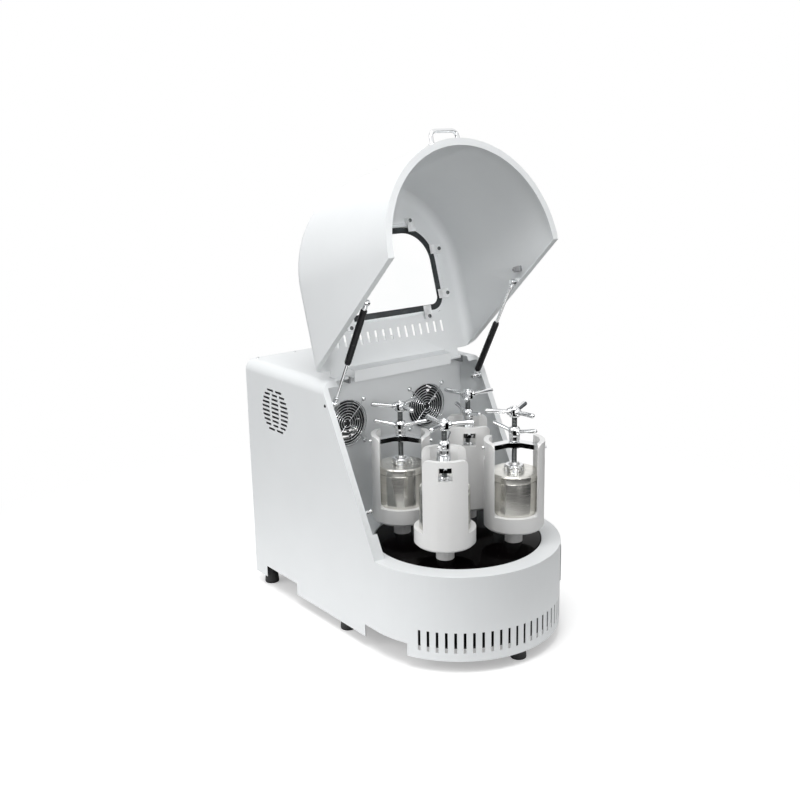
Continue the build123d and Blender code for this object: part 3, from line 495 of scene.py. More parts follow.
def dull_compound(name, color, rough, grain=500.0, depth=0.12):
    """Rubber and grained plastic."""
    made, tree, shader = new_finish(name)
    cloud = object_noise(tree, 40.0, 3.0)
    tone = blended(tree, between(tree, cloud, 0, 1), shaded(color, 0.75), shaded(color, 1.25))
    tree.links.new(tone, shader.inputs["Base Color"])
    tree.links.new(between(tree, object_noise(tree, grain), rough - 0.06, rough + 0.06),
                   shader.inputs["Roughness"])
    raised(tree, shader, object_noise(tree, grain), depth, 0.0002)
    return made


def clear_sheet(name):
    made, tree, shader = new_finish(name)
    shader.inputs["Transmission Weight"].default_value = 1.0
    shader.inputs["IOR"].default_value = 1.02
    cloud = object_noise(tree, 9.0, 2.0)
    tree.links.new(between(tree, cloud, 0.0, 0.02), shader.inputs["Roughness"])
    tone = blended(tree, between(tree, cloud, 0, 1), (0.97, 0.985, 0.985), (1.0, 1.0, 1.0))
    tree.links.new(tone, shader.inputs["Base Color"])
    return made


finish = {}


class MillFinishSettings(bpy.types.PropertyGroup):
    """Colours of the coats and metals."""

    housing: FloatVectorProperty(
        name="Housing coat", description="Colour of the powder coat on the housing and the hood",
        default=(0.78, 0.80, 0.81), min=0, max=1, subtype="COLOR")
    holder: FloatVectorProperty(
        name="Pot coat", description="Colour of the coat on the pot holders",
        default=(0.78, 0.78, 0.775), min=0, max=1, subtype="COLOR")
    table: FloatVectorProperty(
        name="Turntable enamel", description="Colour of the gloss enamel on the turntable",
        default=(0.0012, 0.0008, 0.0009), min=0, max=1, subtype="COLOR")
    jar: FloatVectorProperty(
        name="Jar steel", description="Colour of the brushed jars and their lids",
        default=(0.74, 0.73, 0.69), min=0, max=1, subtype="COLOR")
    chrome: FloatVectorProperty(
        name="Chrome", description="Colour of the plated clamps, rods and handles",
        default=(0.86, 0.87, 0.88), min=0, max=1, subtype="COLOR")
    coat_roughness: FloatProperty(
        name="Coat roughness", description="Roughness of the powder coat", default=0.42, min=0.05, max=1,
        subtype="FACTOR")


class MillClampSettings(bpy.types.PropertyGroup):
    """Sizes of the clamps that hold the jars."""

    screw_radius: FloatProperty(
        name="Screw radius", description="Outer radius of the clamping screw's thread", default=6.0 * MM,
        unit="LENGTH")
    thread_pitch: FloatProperty(
        name="Thread pitch", description="Rise of the thread in one turn", default=1.75 * MM, unit="LENGTH")
    star_arm_radius: FloatProperty(
        name="Star arm radius", description="Radius of the three arms of the star handle", default=5.2 * MM,
        unit="LENGTH")
    star_arm_reach: FloatProperty(
        name="Star arm reach", description="Length of a star arm from the screw's axis", default=66 * MM,
        unit="LENGTH")
    star_arm_tilt: FloatProperty(
        name="Star arm tilt", description="Rise of the star arms above level", default=radians(4),
        subtype="ANGLE")
    nut_arm_radius: FloatProperty(
        name="Lock arm radius", description="Radius of the two arms of the lock nut", default=4.6 * MM,
        unit="LENGTH")
    nut_arm_reach: FloatProperty(
        name="Lock arm reach", description="Length of a lock arm from the screw's axis", default=62 * MM,
        unit="LENGTH")
    nut_arm_tilt: FloatProperty(
        name="Lock arm tilt", description="Rise of the lock arms above level", default=radians(12),
        subtype="ANGLE")
    foot_lobes: IntProperty(
        name="Foot lobes", description="Number of lobes round the screw's foot", default=6, min=3, max=12)


class MillGuardSettings(bpy.types.PropertyGroup):
    """Sizes of the wire guards in front of the fans."""

    ring_count: IntProperty(
        name="Rings", description="Number of concentric wires in a guard", default=8, min=2, max=16)
    outer_radius: FloatProperty(
        name="Outer radius", description="Radius of the largest wire", default=56 * MM, unit="LENGTH")
    wire_radius: FloatProperty(
        name="Wire radius", description="Radius of the guard's wire", default=1.1 * MM, unit="LENGTH")


class MillStudioSettings(bpy.types.PropertyGroup):
    """Light and backdrop."""

    key_power: FloatProperty(
        name="Key light", description="Power of the large lamp at the left", default=33.0, min=0,
        unit="POWER")
    top_power: FloatProperty(
        name="Top light", description="Power of the lamp above and in front", default=29.0, min=0,
        unit="POWER")
    hood_power: FloatProperty(
        name="Hood light", description="Power of the soft spot that reaches into the hood", default=55.0,
        min=0, unit="POWER")
    sky: FloatProperty(
        name="Sky strength", description="Strength of the even light from all round", default=0.52, min=0)


# What repeats, as geometry nodes

def guard_tree():
    """Concentric wires: rings at even steps, given their thickness at the end."""
    tree = bpy.data.node_groups.new("WireRings", "GeometryNodeTree")
    face = tree.interface
    face.new_socket("Geometry", in_out="OUTPUT", socket_type="NodeSocketGeometry")
    rings = face.new_socket("Rings", in_out="INPUT", socket_type="NodeSocketInt")
    outer = face.new_socket("Outer Radius", in_out="INPUT", socket_type="NodeSocketFloat")
    inner = face.new_socket("Inner Radius", in_out="INPUT", socket_type="NodeSocketFloat")
    wire = face.new_socket("Wire Radius", in_out="INPUT", socket_type="NodeSocketFloat")
    coat = face.new_socket("Material", in_out="INPUT", socket_type="NodeSocketMaterial")
    link = tree.links.new
    start = tree.nodes.new("NodeGroupInput")
    end = tree.nodes.new("NodeGroupOutput")
    line = tree.nodes.new("GeometryNodeMeshLine")
    line.mode = "OFFSET"
    link(start.outputs["Rings"], line.inputs["Count"])
    line.inputs["Offset"].default_value = (0, 0, 0)
    hoop = tree.nodes.new("GeometryNodeCurvePrimitiveCircle")
    hoop.inputs["Resolution"].default_value = 72
    hoop.inputs["Radius"].default_value = 1.0
    count = tree.nodes.new("GeometryNodeInputIndex")
    last = node(tree, "ShaderNodeMath", operation="SUBTRACT")
    link(start.outputs["Rings"], last.inputs[0])
    last.inputs[1].default_value = 1.0
    size = tree.nodes.new("ShaderNodeMapRange")
    link(count.outputs[0], size.inputs["Value"])
    link(last.outputs[0], size.inputs["From Max"])
    link(start.outputs["Inner Radius"], size.inputs["To Min"])
    link(start.outputs["Outer Radius"], size.inputs["To Max"])
    copies = tree.nodes.new("GeometryNodeInstanceOnPoints")
    link(line.outputs["Mesh"], copies.inputs["Points"])
    link(hoop.outputs["Curve"], copies.inputs["Instance"])
    link(size.outputs["Result"], copies.inputs["Scale"])
    real = tree.nodes.new("GeometryNodeRealizeInstances")
    link(copies.outputs["Instances"], real.inputs["Geometry"])
    section = tree.nodes.new("GeometryNodeCurvePrimitiveCircle")
    section.inputs["Resolution"].default_value = 10
    link(start.outputs["Wire Radius"], section.inputs["Radius"])
    skin = tree.nodes.new("GeometryNodeCurveToMesh")
    link(real.outputs["Geometry"], skin.inputs["Curve"])
    link(section.outputs["Curve"], skin.inputs["Profile Curve"])
    paint = tree.nodes.new("GeometryNodeSetMaterial")
    link(skin.outputs["Mesh"], paint.inputs["Geometry"])
    link(start.outputs["Material"], paint.inputs["Material"])
    link(paint.outputs["Geometry"], end.inputs["Geometry"])
    return tree, {"rings": rings.identifier, "outer": outer.identifier, "inner": inner.identifier,
                  "wire": wire.identifier, "material": coat.identifier}


def copies_tree():
    """One small fitting at each point of a mesh, turned to the point's own direction."""
    tree = bpy.data.node_groups.new("Fittings", "GeometryNodeTree")
    face = tree.interface
    face.new_socket("Geometry", in_out="OUTPUT", socket_type="NodeSocketGeometry")
    face.new_socket("Geometry", in_out="INPUT", socket_type="NodeSocketGeometry")
    thing = face.new_socket("Fitting", in_out="INPUT", socket_type="NodeSocketObject")
    size = face.new_socket("Size", in_out="INPUT", socket_type="NodeSocketFloat")
    coat = face.new_socket("Material", in_out="INPUT", socket_type="NodeSocketMaterial")
    link = tree.links.new
    start = tree.nodes.new("NodeGroupInput")
    end = tree.nodes.new("NodeGroupOutput")
    info = tree.nodes.new("GeometryNodeObjectInfo")
    info.transform_space = "ORIGINAL"
    link(start.outputs["Fitting"], info.inputs["Object"])
    way = tree.nodes.new("GeometryNodeInputNamedAttribute")
    way.data_type = "FLOAT_VECTOR"
    way.inputs["Name"].default_value = "facing"
    align = tree.nodes.new("FunctionNodeAlignEulerToVector")
    align.axis = "Z"
    link(way.outputs["Attribute"], align.inputs["Vector"])
    copies = tree.nodes.new("GeometryNodeInstanceOnPoints")
    link(start.outputs["Geometry"], copies.inputs["Points"])
    link(info.outputs["Geometry"], copies.inputs["Instance"])
    link(align.outputs["Rotation"], copies.inputs["Rotation"])
    link(start.outputs["Size"], copies.inputs["Scale"])
    real = tree.nodes.new("GeometryNodeRealizeInstances")
    link(copies.outputs["Instances"], real.inputs["Geometry"])
    paint = tree.nodes.new("GeometryNodeSetMaterial")
    link(real.outputs["Geometry"], paint.inputs["Geometry"])
    link(start.outputs["Material"], paint.inputs["Material"])
    link(paint.outputs["Geometry"], end.inputs["Geometry"])
    return tree, {"thing": thing.identifier, "size": size.identifier, "material": coat.identifier}


def thread_tree():
    """A screw thread: a spiral with a pointed section wound round a core."""
    tree = bpy.data.node_groups.new("ScrewThread", "GeometryNodeTree")
    face = tree.interface
    face.new_socket("Geometry", in_out="OUTPUT", socket_type="NodeSocketGeometry")
    radius = face.new_socket("Radius", in_out="INPUT", socket_type="NodeSocketFloat")
    height = face.new_socket("Height", in_out="INPUT", socket_type="NodeSocketFloat")
    turns = face.new_socket("Turns", in_out="INPUT", socket_type="NodeSocketFloat")
    ridge = face.new_socket("Ridge", in_out="INPUT", socket_type="NodeSocketFloat")
    coat = face.new_socket("Material", in_out="INPUT", socket_type="NodeSocketMaterial")
    link = tree.links.new
    start = tree.nodes.new("NodeGroupInput")
    end = tree.nodes.new("NodeGroupOutput")
    spiral = tree.nodes.new("GeometryNodeCurveSpiral")
    spiral.inputs["Resolution"].default_value = 24
    link(start.outputs["Turns"], spiral.inputs["Rotations"])
    link(start.outputs["Radius"], spiral.inputs["Start Radius"])
    link(start.outputs["Radius"], spiral.inputs["End Radius"])
    link(start.outputs["Height"], spiral.inputs["Height"])
    section = tree.nodes.new("GeometryNodeCurvePrimitiveCircle")
    section.inputs["Resolution"].default_value = 4
    link(start.outputs["Ridge"], section.inputs["Radius"])
    skin = tree.nodes.new("GeometryNodeCurveToMesh")
    skin.inputs["Fill Caps"].default_value = True
    link(spiral.outputs["Curve"], skin.inputs["Curve"])
    link(section.outputs["Curve"], skin.inputs["Profile Curve"])
    core = tree.nodes.new("GeometryNodeMeshCylinder")
    core.inputs["Vertices"].default_value = 32
    link(start.outputs["Radius"], core.inputs["Radius"])
    link(start.outputs["Height"], core.inputs["Depth"])
    half = node(tree, "ShaderNodeMath", operation="MULTIPLY")
    link(start.outputs["Height"], half.inputs[0])
    half.inputs[1].default_value = 0.5
    lift = tree.nodes.new("ShaderNodeCombineXYZ")
    link(half.outputs[0], lift.inputs["Z"])
    move = tree.nodes.new("GeometryNodeTransform")
    link(core.outputs["Mesh"], move.inputs["Geometry"])
    link(lift.outputs[0], move.inputs["Translation"])
    both = tree.nodes.new("GeometryNodeJoinGeometry")
    link(skin.outputs["Mesh"], both.inputs["Geometry"])
    link(move.outputs["Geometry"], both.inputs["Geometry"])
    real = tree.nodes.new("GeometryNodeRealizeInstances")
    link(both.outputs["Geometry"], real.inputs["Geometry"])
    paint = tree.nodes.new("GeometryNodeSetMaterial")
    link(real.outputs["Geometry"], paint.inputs["Geometry"])
    link(start.outputs["Material"], paint.inputs["Material"])
    link(paint.outputs["Geometry"], end.inputs["Geometry"])
    return tree, {"radius": radius.identifier, "height": height.identifier, "turns": turns.identifier,
                  "ridge": ridge.identifier, "material": coat.identifier}


def grown(tree, values, base=None):
    """Runs a node tree on a mesh and returns the result as plain mesh data."""
    holder = bpy.data.objects.new("holder", base or bpy.data.meshes.new("empty"))
    bpy.context.scene.collection.objects.link(holder)
    step = holder.modifiers.new("nodes", "NODES")
    step.node_group = tree
    for key, value in values.items():
        step[key] = value
    bpy.context.view_layer.update()
    seen = holder.evaluated_get(bpy.context.evaluated_depsgraph_get())
    mesh = bpy.data.meshes.new_from_object(seen)
    holder.modifiers.remove(step)
    bpy.data.objects.remove(holder)
    return mesh


def screw_head(radius=1.0, height=0.62, socket=0.52):
    """A domed head with a hexagonal socket, one unit in radius."""
    def six_sided(angle):
        return cos(pi / 6) / cos((angle % (pi / 3)) - pi / 6)

    def shape(angle, k):
        return six_sided(angle) if k >= 6 else 1

    points = [(radius * 0.99, 0), (radius, 0.06), (radius, height * 0.45), (radius * 0.93, height * 0.78),
              (radius * 0.74, height * 0.97), (radius * 0.66, height), (socket, height),
              (socket, height * 0.25),
              (0, height * 0.2)]
    form = bmesh.new()
    add_turned(form, points, sides=24, shape=shape)
    return mesh_of(form, "head", 28)


def fittings(name, body, slot, material, places, size, head=None):
    """Small heads at places, each a point and the way that it faces."""
    base = bpy.data.meshes.new("places")
    base.from_pydata([tuple(p) for p, _ in places], [], [])
    way = base.attributes.new("facing", "FLOAT_VECTOR", "POINT")
    way.data.foreach_set("vector", [c for _, d in places for c in d])
    thing = bpy.data.objects.new("fitting", head or screw_head())
    bpy.context.scene.collection.objects.link(thing)
    tree, names = copies_tree()
    mesh = grown(tree, {names["thing"]: thing, names["size"]: size, names["material"]: material}, base)
    bpy.data.objects.remove(thing)
    mesh.name = name
    mesh.set_sharp_from_angle(angle=radians(28))
    for face in mesh.polygons:
        face.use_smooth = True
    return piece(name, mesh, body, slot, material)


# Operators, one for each group of pieces

class MILL_OT_finishes(bpy.types.Operator):
    """Make the coats, metals, rubber and plastics."""

    bl_idname = "mill.finishes"
    bl_label = "Surface finishes"

    def execute(self, context):
        tone = context.scene.mill_finish
        housing = tuple(tone.housing)
        finish["coat"] = powder_coat("WhiteCoat", housing, tone.coat_roughness)
        # This coat has the shade of the closed machine room painted into it
        finish["shell_coat"] = powder_coat("WhiteCoatShellPaintedShade", housing, tone.coat_roughness, painted_machine_room_shade)
        finish["holder"] = powder_coat("HolderCoat", tuple(tone.holder), 0.38)
        finish["table"] = gloss_enamel("BlackEnamel", tuple(tone.table), 0.08, 0.5, 0.03)
        finish["black"] = gloss_enamel("SpringEnamel", (0.012, 0.012, 0.013), 0.22)
        finish["motor"] = gloss_enamel("MotorEnamel", (0.10, 0.11, 0.12), 0.35)
        finish["jar"] = turned_steel("JarSteel", tuple(tone.jar), 0.20)
        finish["jar_lid"] = turned_steel("LidSteel", shaded(tone.jar, 1.12), 0.22, 0.5)
        finish["chrome"] = chrome_plate("Chrome", tuple(tone.chrome))
        finish["thread"] = plain_steel("DarkThread", (0.16, 0.17, 0.17), 0.28)
        finish["plated"] = plain_steel("ZincPlate", (0.42, 0.42, 0.43), 0.30)
        finish["machined"] = plain_steel("MachinedSteel", (0.42, 0.42, 0.43), 0.25)
        # Near-black painted shade on the base plate, which lies inside the closed machine room
        finish["primer"] = plain_steel("DarkPlatePaintedShade", (0.05, 0.05, 0.052), 0.50)
        finish["cast"] = plain_steel("CastIron", (0.16, 0.16, 0.17), 0.45)
        finish["alloy"] = plain_steel("Alloy", (0.66, 0.66, 0.68), 0.25)
        finish["rubber"] = dull_compound("FootRubber", (0.018, 0.018, 0.019), 0.62)
        finish["seal"] = dull_compound("SealRubber", (0.022, 0.026, 0.028), 0.45)
        finish["plastic"] = dull_compound("BlackPlastic", (0.02, 0.02, 0.021), 0.42, 700.0, 0.08)
        finish["panel"] = dull_compound("PanelGrey", (0.16, 0.17, 0.18), 0.40, 700.0, 0.05)
        finish["clip"] = dull_compound("ClipWhite", (0.80, 0.81, 0.82), 0.35, 300.0, 0.03)
        finish["clear"] = clear_sheet("ClearSheet")
        return {"FINISHED"}


class MILL_OT_housing(bpy.types.Operator):
    """Finish the housing, the deck round the turntable and the panels."""

    bl_idname = "mill.housing"
    bl_label = "Housing"

    def execute(self, context):
        def deck_edge(p):
            out = hypot(p.x, p.y - turntable_y)
            return 1.0 if p.z > deck_height - 0.0003 and (out > 0.233 or out < 0.193) else 0.25

        # The shell's inner walls behind the panels and under the deck carry painted shade
        dressed("housing_shell", "HousingShell", finish["shell_coat"], 0.5)
        dressed("deck_ring", "DeckRing", finish["coat"], 1.6, 3, heavy=deck_edge)
        dressed("chamber_back_panel", "ChamberBack", finish["coat"], 0.4)
        dressed("rear_panel", "RearPanel", finish["coat"], 0.4)
        # The base plate takes the darkened finish that paints the machine room's shade
        dressed("base_plate", "BasePlate", finish["primer"], 0.4)
        dressed("hinge_brackets", "HingeBrackets", finish["plated"], 0.4)
        return {"FINISHED"}


class MILL_OT_feet(bpy.types.Operator):
    """Turn the rubber feet."""

    bl_idname = "mill.feet"
    bl_label = "Feet"

    def execute(self, context):
        low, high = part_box("rubber_feet")
        side = high.x - 18 * MM
        places = [(0, low.y + 18 * MM), (-side, 6 * MM), (side, 6 * MM),
                  (-side, high.y - 18 * MM), (side, high.y - 18 * MM)]
        outline = [(0, 0), (14 * MM, 0), (17.4 * MM, 0.6 * MM), (18 * MM, 2.5 * MM), (17.6 * MM, 9 * MM),
                   (16.2 * MM, 22 * MM), (15.2 * MM, 27.4 * MM), (14 * MM, 28 * MM), (0, 28 * MM)]
        form = bmesh.new()
        for x, y in places:
            add_turned(form, outline, Matrix.Translation((x, y, 0)), 48)
        piece("Feet", mesh_of(form, "Feet"), "base", "foot_rubber", finish["rubber"], "rubber_feet")
        return {"FINISHED"}


class MILL_OT_turntable(bpy.types.Operator):
    """Turn the black table and dress the drive below it."""

    bl_idname = "mill.turntable"
    bl_label = "Turntable and drive"

    def execute(self, context):
        low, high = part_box("turntable")
        rim = (high.x - low.x) / 2
        edge = 1.5 * MM
        outline = [(0, low.z), (rim - edge, low.z), (rim, low.z + edge), (rim, high.z - edge),
                   (rim - edge * 0.3, high.z - edge * 0.3), (rim - edge, high.z), (0.02, high.z), (0, high.z)]
        form = bmesh.new()
        add_turned(form, outline, Matrix.Translation((0, turntable_y, 0)), 192)
        piece("Turntable", mesh_of(form, "Turntable"), "table", "black_coat", finish["table"], "turntable")
        for name in ("main_shaft", "sun_gear", *[f"planet_gear_{n}" for n in POTS]):
            self.coat(name, finish["machined"])
        self.coat("bearing_column", finish["cast"])
        self.coat("drive_motor", finish["motor"])
        self.coat("motor_pulley", finish["alloy"])
        self.coat("drive_belt", finish["rubber"])
        return {"FINISHED"}

    @staticmethod
    def coat(name, material):
        mesh = frame["nodes"][name].data
        mesh.materials.clear()
        mesh.materials.append(material)


class MILL_OT_pots(bpy.types.Operator):
    """Make the four pot holders with their jars, lids and clamping bars."""

    bl_idname = "mill.pots"
    bl_label = "Pots and jars"

    def execute(self, context):
        for n in POTS:
            dressed(f"pot_holder_{n}", f"PotHolder{n}", finish["holder"], 1.3, 3)
            self.jar(n)
            self.lid(n)
            self.bar(n)
        return {"FINISHED"}

    @staticmethod
    def jar(n):
        low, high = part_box(f"jar_{n}")
        middle = (low + high) / 2
        radius = (high.x - low.x) / 2
        bore = radius - 5.5 * MM
        outline = rounded([(0, low.z), (radius, low.z), (radius, high.z), (bore, high.z),
                           (bore, low.z + 5 * MM),
                           (0, low.z + 5 * MM)], 1.2 * MM)
        form = bmesh.new()
        add_turned(form, outline, Matrix.Translation((middle.x, middle.y, 0)), 128)
        piece(f"Jar{n}", mesh_of(form, "Jar"), f"planet_{n}", "jar_steel", finish["jar"], f"jar_{n}")

    @staticmethod
    def lid(n):
        low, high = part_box(f"jar_lid_{n}")
        middle = (low + high) / 2
        radius = (high.x - low.x) / 2
        seat = low.z + 8 * MM
        outline = rounded([(0, low.z), (radius - 5.7 * MM, low.z), (radius - 5.7 * MM, seat + 0.4 * MM),
                           (radius - 0.6 * MM, seat + 0.4 * MM), (radius, seat + 1.2 * MM),
                           (radius, high.z - 3.2 * MM), (radius - 2.6 * MM, high.z), (26 * MM, high.z),
                           (25.4 * MM, high.z - 0.8 * MM), (24.6 * MM, high.z), (0, high.z)], 0.6 * MM)
        form = bmesh.new()
        add_turned(form, outline, Matrix.Translation((middle.x, middle.y, 0)), 128)
        piece(f"JarLid{n}", mesh_of(form, "JarLid"), f"planet_{n}", "jar_steel", finish["jar_lid"],
              f"jar_lid_{n}")

    @staticmethod
    def bar(n):
        made = dressed(f"clamp_bar_{n}", f"ClampBar{n}", finish["chrome"], 2.4, 3, 24)
        made.modifiers["edges"].angle_limit = radians(40)


class MILL_OT_clamps(bpy.types.Operator):
    """Make the lock nuts and the clamping screws with their star handles."""

    bl_idname = "mill.clamps"
    bl_label = "Clamps"

    def execute(self, context):
        sizes = context.scene.mill_clamp
        tree, names = thread_tree()
        for n in POTS:
            low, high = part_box(f"jar_{n}")
            middle = (low + high) / 2
            spot = Matrix.Translation((middle.x, middle.y, 0))
            self.lock_nut(n, spot, sizes)
            self.star(n, spot, sizes)
            self.thread(n, spot, sizes, tree, names)
        return {"FINISHED"}

    @staticmethod
    def handle_arm(form, spot, turn, height, tilt, radius, inner, reach):
        """A round arm with a domed end that swells a little outwards."""
        lean = Matrix.Rotation(pi / 2 - tilt, 4, "Y")
        place = spot @ turn_z(turn) @ Matrix.Translation((0, 0, height)) @ lean
        dome = [(radius * 1.06 * cos(a), reach - radius + radius * sin(a)) for a in
                (0, pi / 10, pi / 5, pi * 0.3, pi * 0.4)]
        outline = [(radius * 0.96, inner), (radius * 0.92, inner + (reach - inner) * 0.3), *dome, (0, reach)]
        add_turned(form, outline, place, 28)

    def lock_nut(self, n, spot, sizes):
        low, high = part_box(f"lock_nut_{n}")
        base, top = 456 * MM, 490 * MM
        hub = 11.5 * MM
        bore = sizes.screw_radius + 0.4 * MM
        outline = rounded([(bore, base), (hub - 1.5 * MM, base), (hub, base + 2.5 * MM),
                           (hub, base + 12 * MM),
                           (hub + 0.9 * MM, base + 15 * MM), (hub + 0.9 * MM, base + 27 * MM),
                           (hub - 0.5 * MM, base + 31 * MM), (hub - 3 * MM, top), (bore, top)], 1.4 * MM)
        form = bmesh.new()
        add_turned(form, outline, spot, 48)
        for k in range(2):
            turn = nut_turns[n - 1] + 180 * k
            self.handle_arm(form, spot, turn, base + 21 * MM, sizes.nut_arm_tilt, sizes.nut_arm_radius,
                            hub * 0.6, sizes.nut_arm_reach)
            self.handle_arm(form, spot, turn, base + 21 * MM, sizes.nut_arm_tilt, sizes.nut_arm_radius * 1.5,
                            hub * 0.6, hub + 5 * MM)
        piece(f"LockNut{n}", mesh_of(form, "LockNut"), f"nut_{n}", "polished_steel", finish["chrome"],
              f"lock_nut_{n}")

    def star(self, n, spot, sizes):
        hub = 12 * MM
        base, top = 511 * MM, 535 * MM
        outline = rounded([(0, base), (hub - 3 * MM, base), (hub, base + 3 * MM), (hub, top - 4 * MM),
                           (hub - 3.5 * MM, top), (5.2 * MM, top), (4.6 * MM, top - 3 * MM),
                           (0, top - 3 * MM)],
                          1.5 * MM)
        form = bmesh.new()
        add_turned(form, outline, spot, 48)
        for k in range(3):
            turn = star_turns[n - 1] + 120 * k
            self.handle_arm(form, spot, turn, base + 12 * MM, sizes.star_arm_tilt, sizes.star_arm_radius,
                            hub * 0.6, sizes.star_arm_reach)
            self.handle_arm(form, spot, turn, base + 12 * MM, sizes.star_arm_tilt,
                            sizes.star_arm_radius * 1.55,
                            hub * 0.5, hub + 7 * MM)
        foot = 22.6 * MM
        low = 389.1 * MM
        lobes = sizes.foot_lobes

        def lobe(angle, k):
            if not 3 <= k <= 9:
                return 1
            wave = cos(lobes * (angle - radians(star_turns[n - 1])))
            return 0.90 + 0.10 * max(-1, min(1, wave * 3))

        outline = rounded([(0, low), (foot - 1 * MM, low), (foot, low + 1.5 * MM), (foot, low + 10 * MM),
                           (foot - 3 * MM, low + 13.9 * MM)], 1.0 * MM, 2)
        outline += [(13 * MM, low + 13.9 * MM), (11.5 * MM, low + 11 * MM), (10.5 * MM, low + 11 * MM),
                    (10 * MM, low + 18 * MM), (9 * MM, low + 19.5 * MM), (0, low + 19.5 * MM)]
        add_turned(form, outline, spot, 96, lobe)
        piece(f"ClampScrew{n}", mesh_of(form, "ClampScrew"), f"screw_{n}", "polished_steel", finish["chrome"],
              f"clamp_screw_{n}")

    @staticmethod
    def thread(n, spot, sizes, tree, names):
        low, high = 404 * MM, 513 * MM
        ridge = sizes.thread_pitch * 0.55
        turns = (high - low) / sizes.thread_pitch
        mesh = grown(tree, {names["radius"]: sizes.screw_radius - ridge, names["height"]: high - low,
                            names["turns"]: turns, names["ridge"]: ridge,
                            names["material"]: finish["thread"]})
        mesh.transform(spot @ Matrix.Translation((0, 0, low)))
        mesh.set_sharp_from_angle(angle=radians(50))
        piece(f"ScrewThread{n}", mesh, f"screw_{n}", "polished_steel", finish["thread"])


class MILL_OT_fans(bpy.types.Operator):
    """Make the fan guards, their wires and screws, and coat the fans."""

    bl_idname = "mill.fans"
    bl_label = "Fans and guards"

    def execute(self, context):
        sizes = context.scene.mill_guard
        tree, names = guard_tree()
        front = back_wall_y - 3.2 * MM
        form = bmesh.new()
        for x in (-fan_x, fan_x):
            rings = grown(tree, {names["rings"]: sizes.ring_count, names["outer"]: sizes.outer_radius,
                                 names["inner"]: 10 * MM, names["wire"]: sizes.wire_radius,
                                 names["material"]: finish["chrome"]})
            rings.transform(along_y(x, front, fan_height, -1))
            form.from_mesh(rings)
            bpy.data.meshes.remove(rings)
        for x in (-fan_x, fan_x):
            for turn in (45, 135, 225, 315):
                self.leg(form, x, front - 2 * sizes.wire_radius, radians(turn), sizes.wire_radius)
        mesh = mesh_of(form, "FanGuards", 60)
        piece("FanGuards", mesh, "base", "polished_steel", finish["chrome"], "fan_guards")
        places = [((x + 72 * MM * cos(radians(t)), back_wall_y - 2.6 * MM,
                    fan_height + 72 * MM * sin(radians(t))),
                   (0, -1, 0)) for x in (-fan_x, fan_x) for t in (45, 135, 225, 315)]
        fittings("GuardScrews", "base", "polished_steel", finish["chrome"], places, 4.2 * MM)
        for name in ("fan_frames", "left_fan_rotor", "right_fan_rotor"):
            MILL_OT_turntable.coat(name, finish["plastic"])
        return {"FINISHED"}

    @staticmethod
    def leg(form, x, y, angle, wire):
        """A straight wire from the middle of a guard to its corner, ending in an eye round the screw."""
        out = Vector((cos(angle), 0, sin(angle)))
        across = Vector((-sin(angle), 0, cos(angle)))
        middle = Vector((x, y, fan_height))
        eye = 5.0 * MM
        centre = middle + out * 72 * MM + Vector((0, back_wall_y - y - 1.4 * wire, 0))
        path = [middle + out * 6 * MM, middle + out * 57 * MM, centre - out * (eye + 3 * MM)]
        for k in range(13):
            a = pi + 2 * pi * k / 13
            path.append(centre + out * eye * cos(a) + across * eye * sin(a))
        add_tube(form, path, wire, 8)


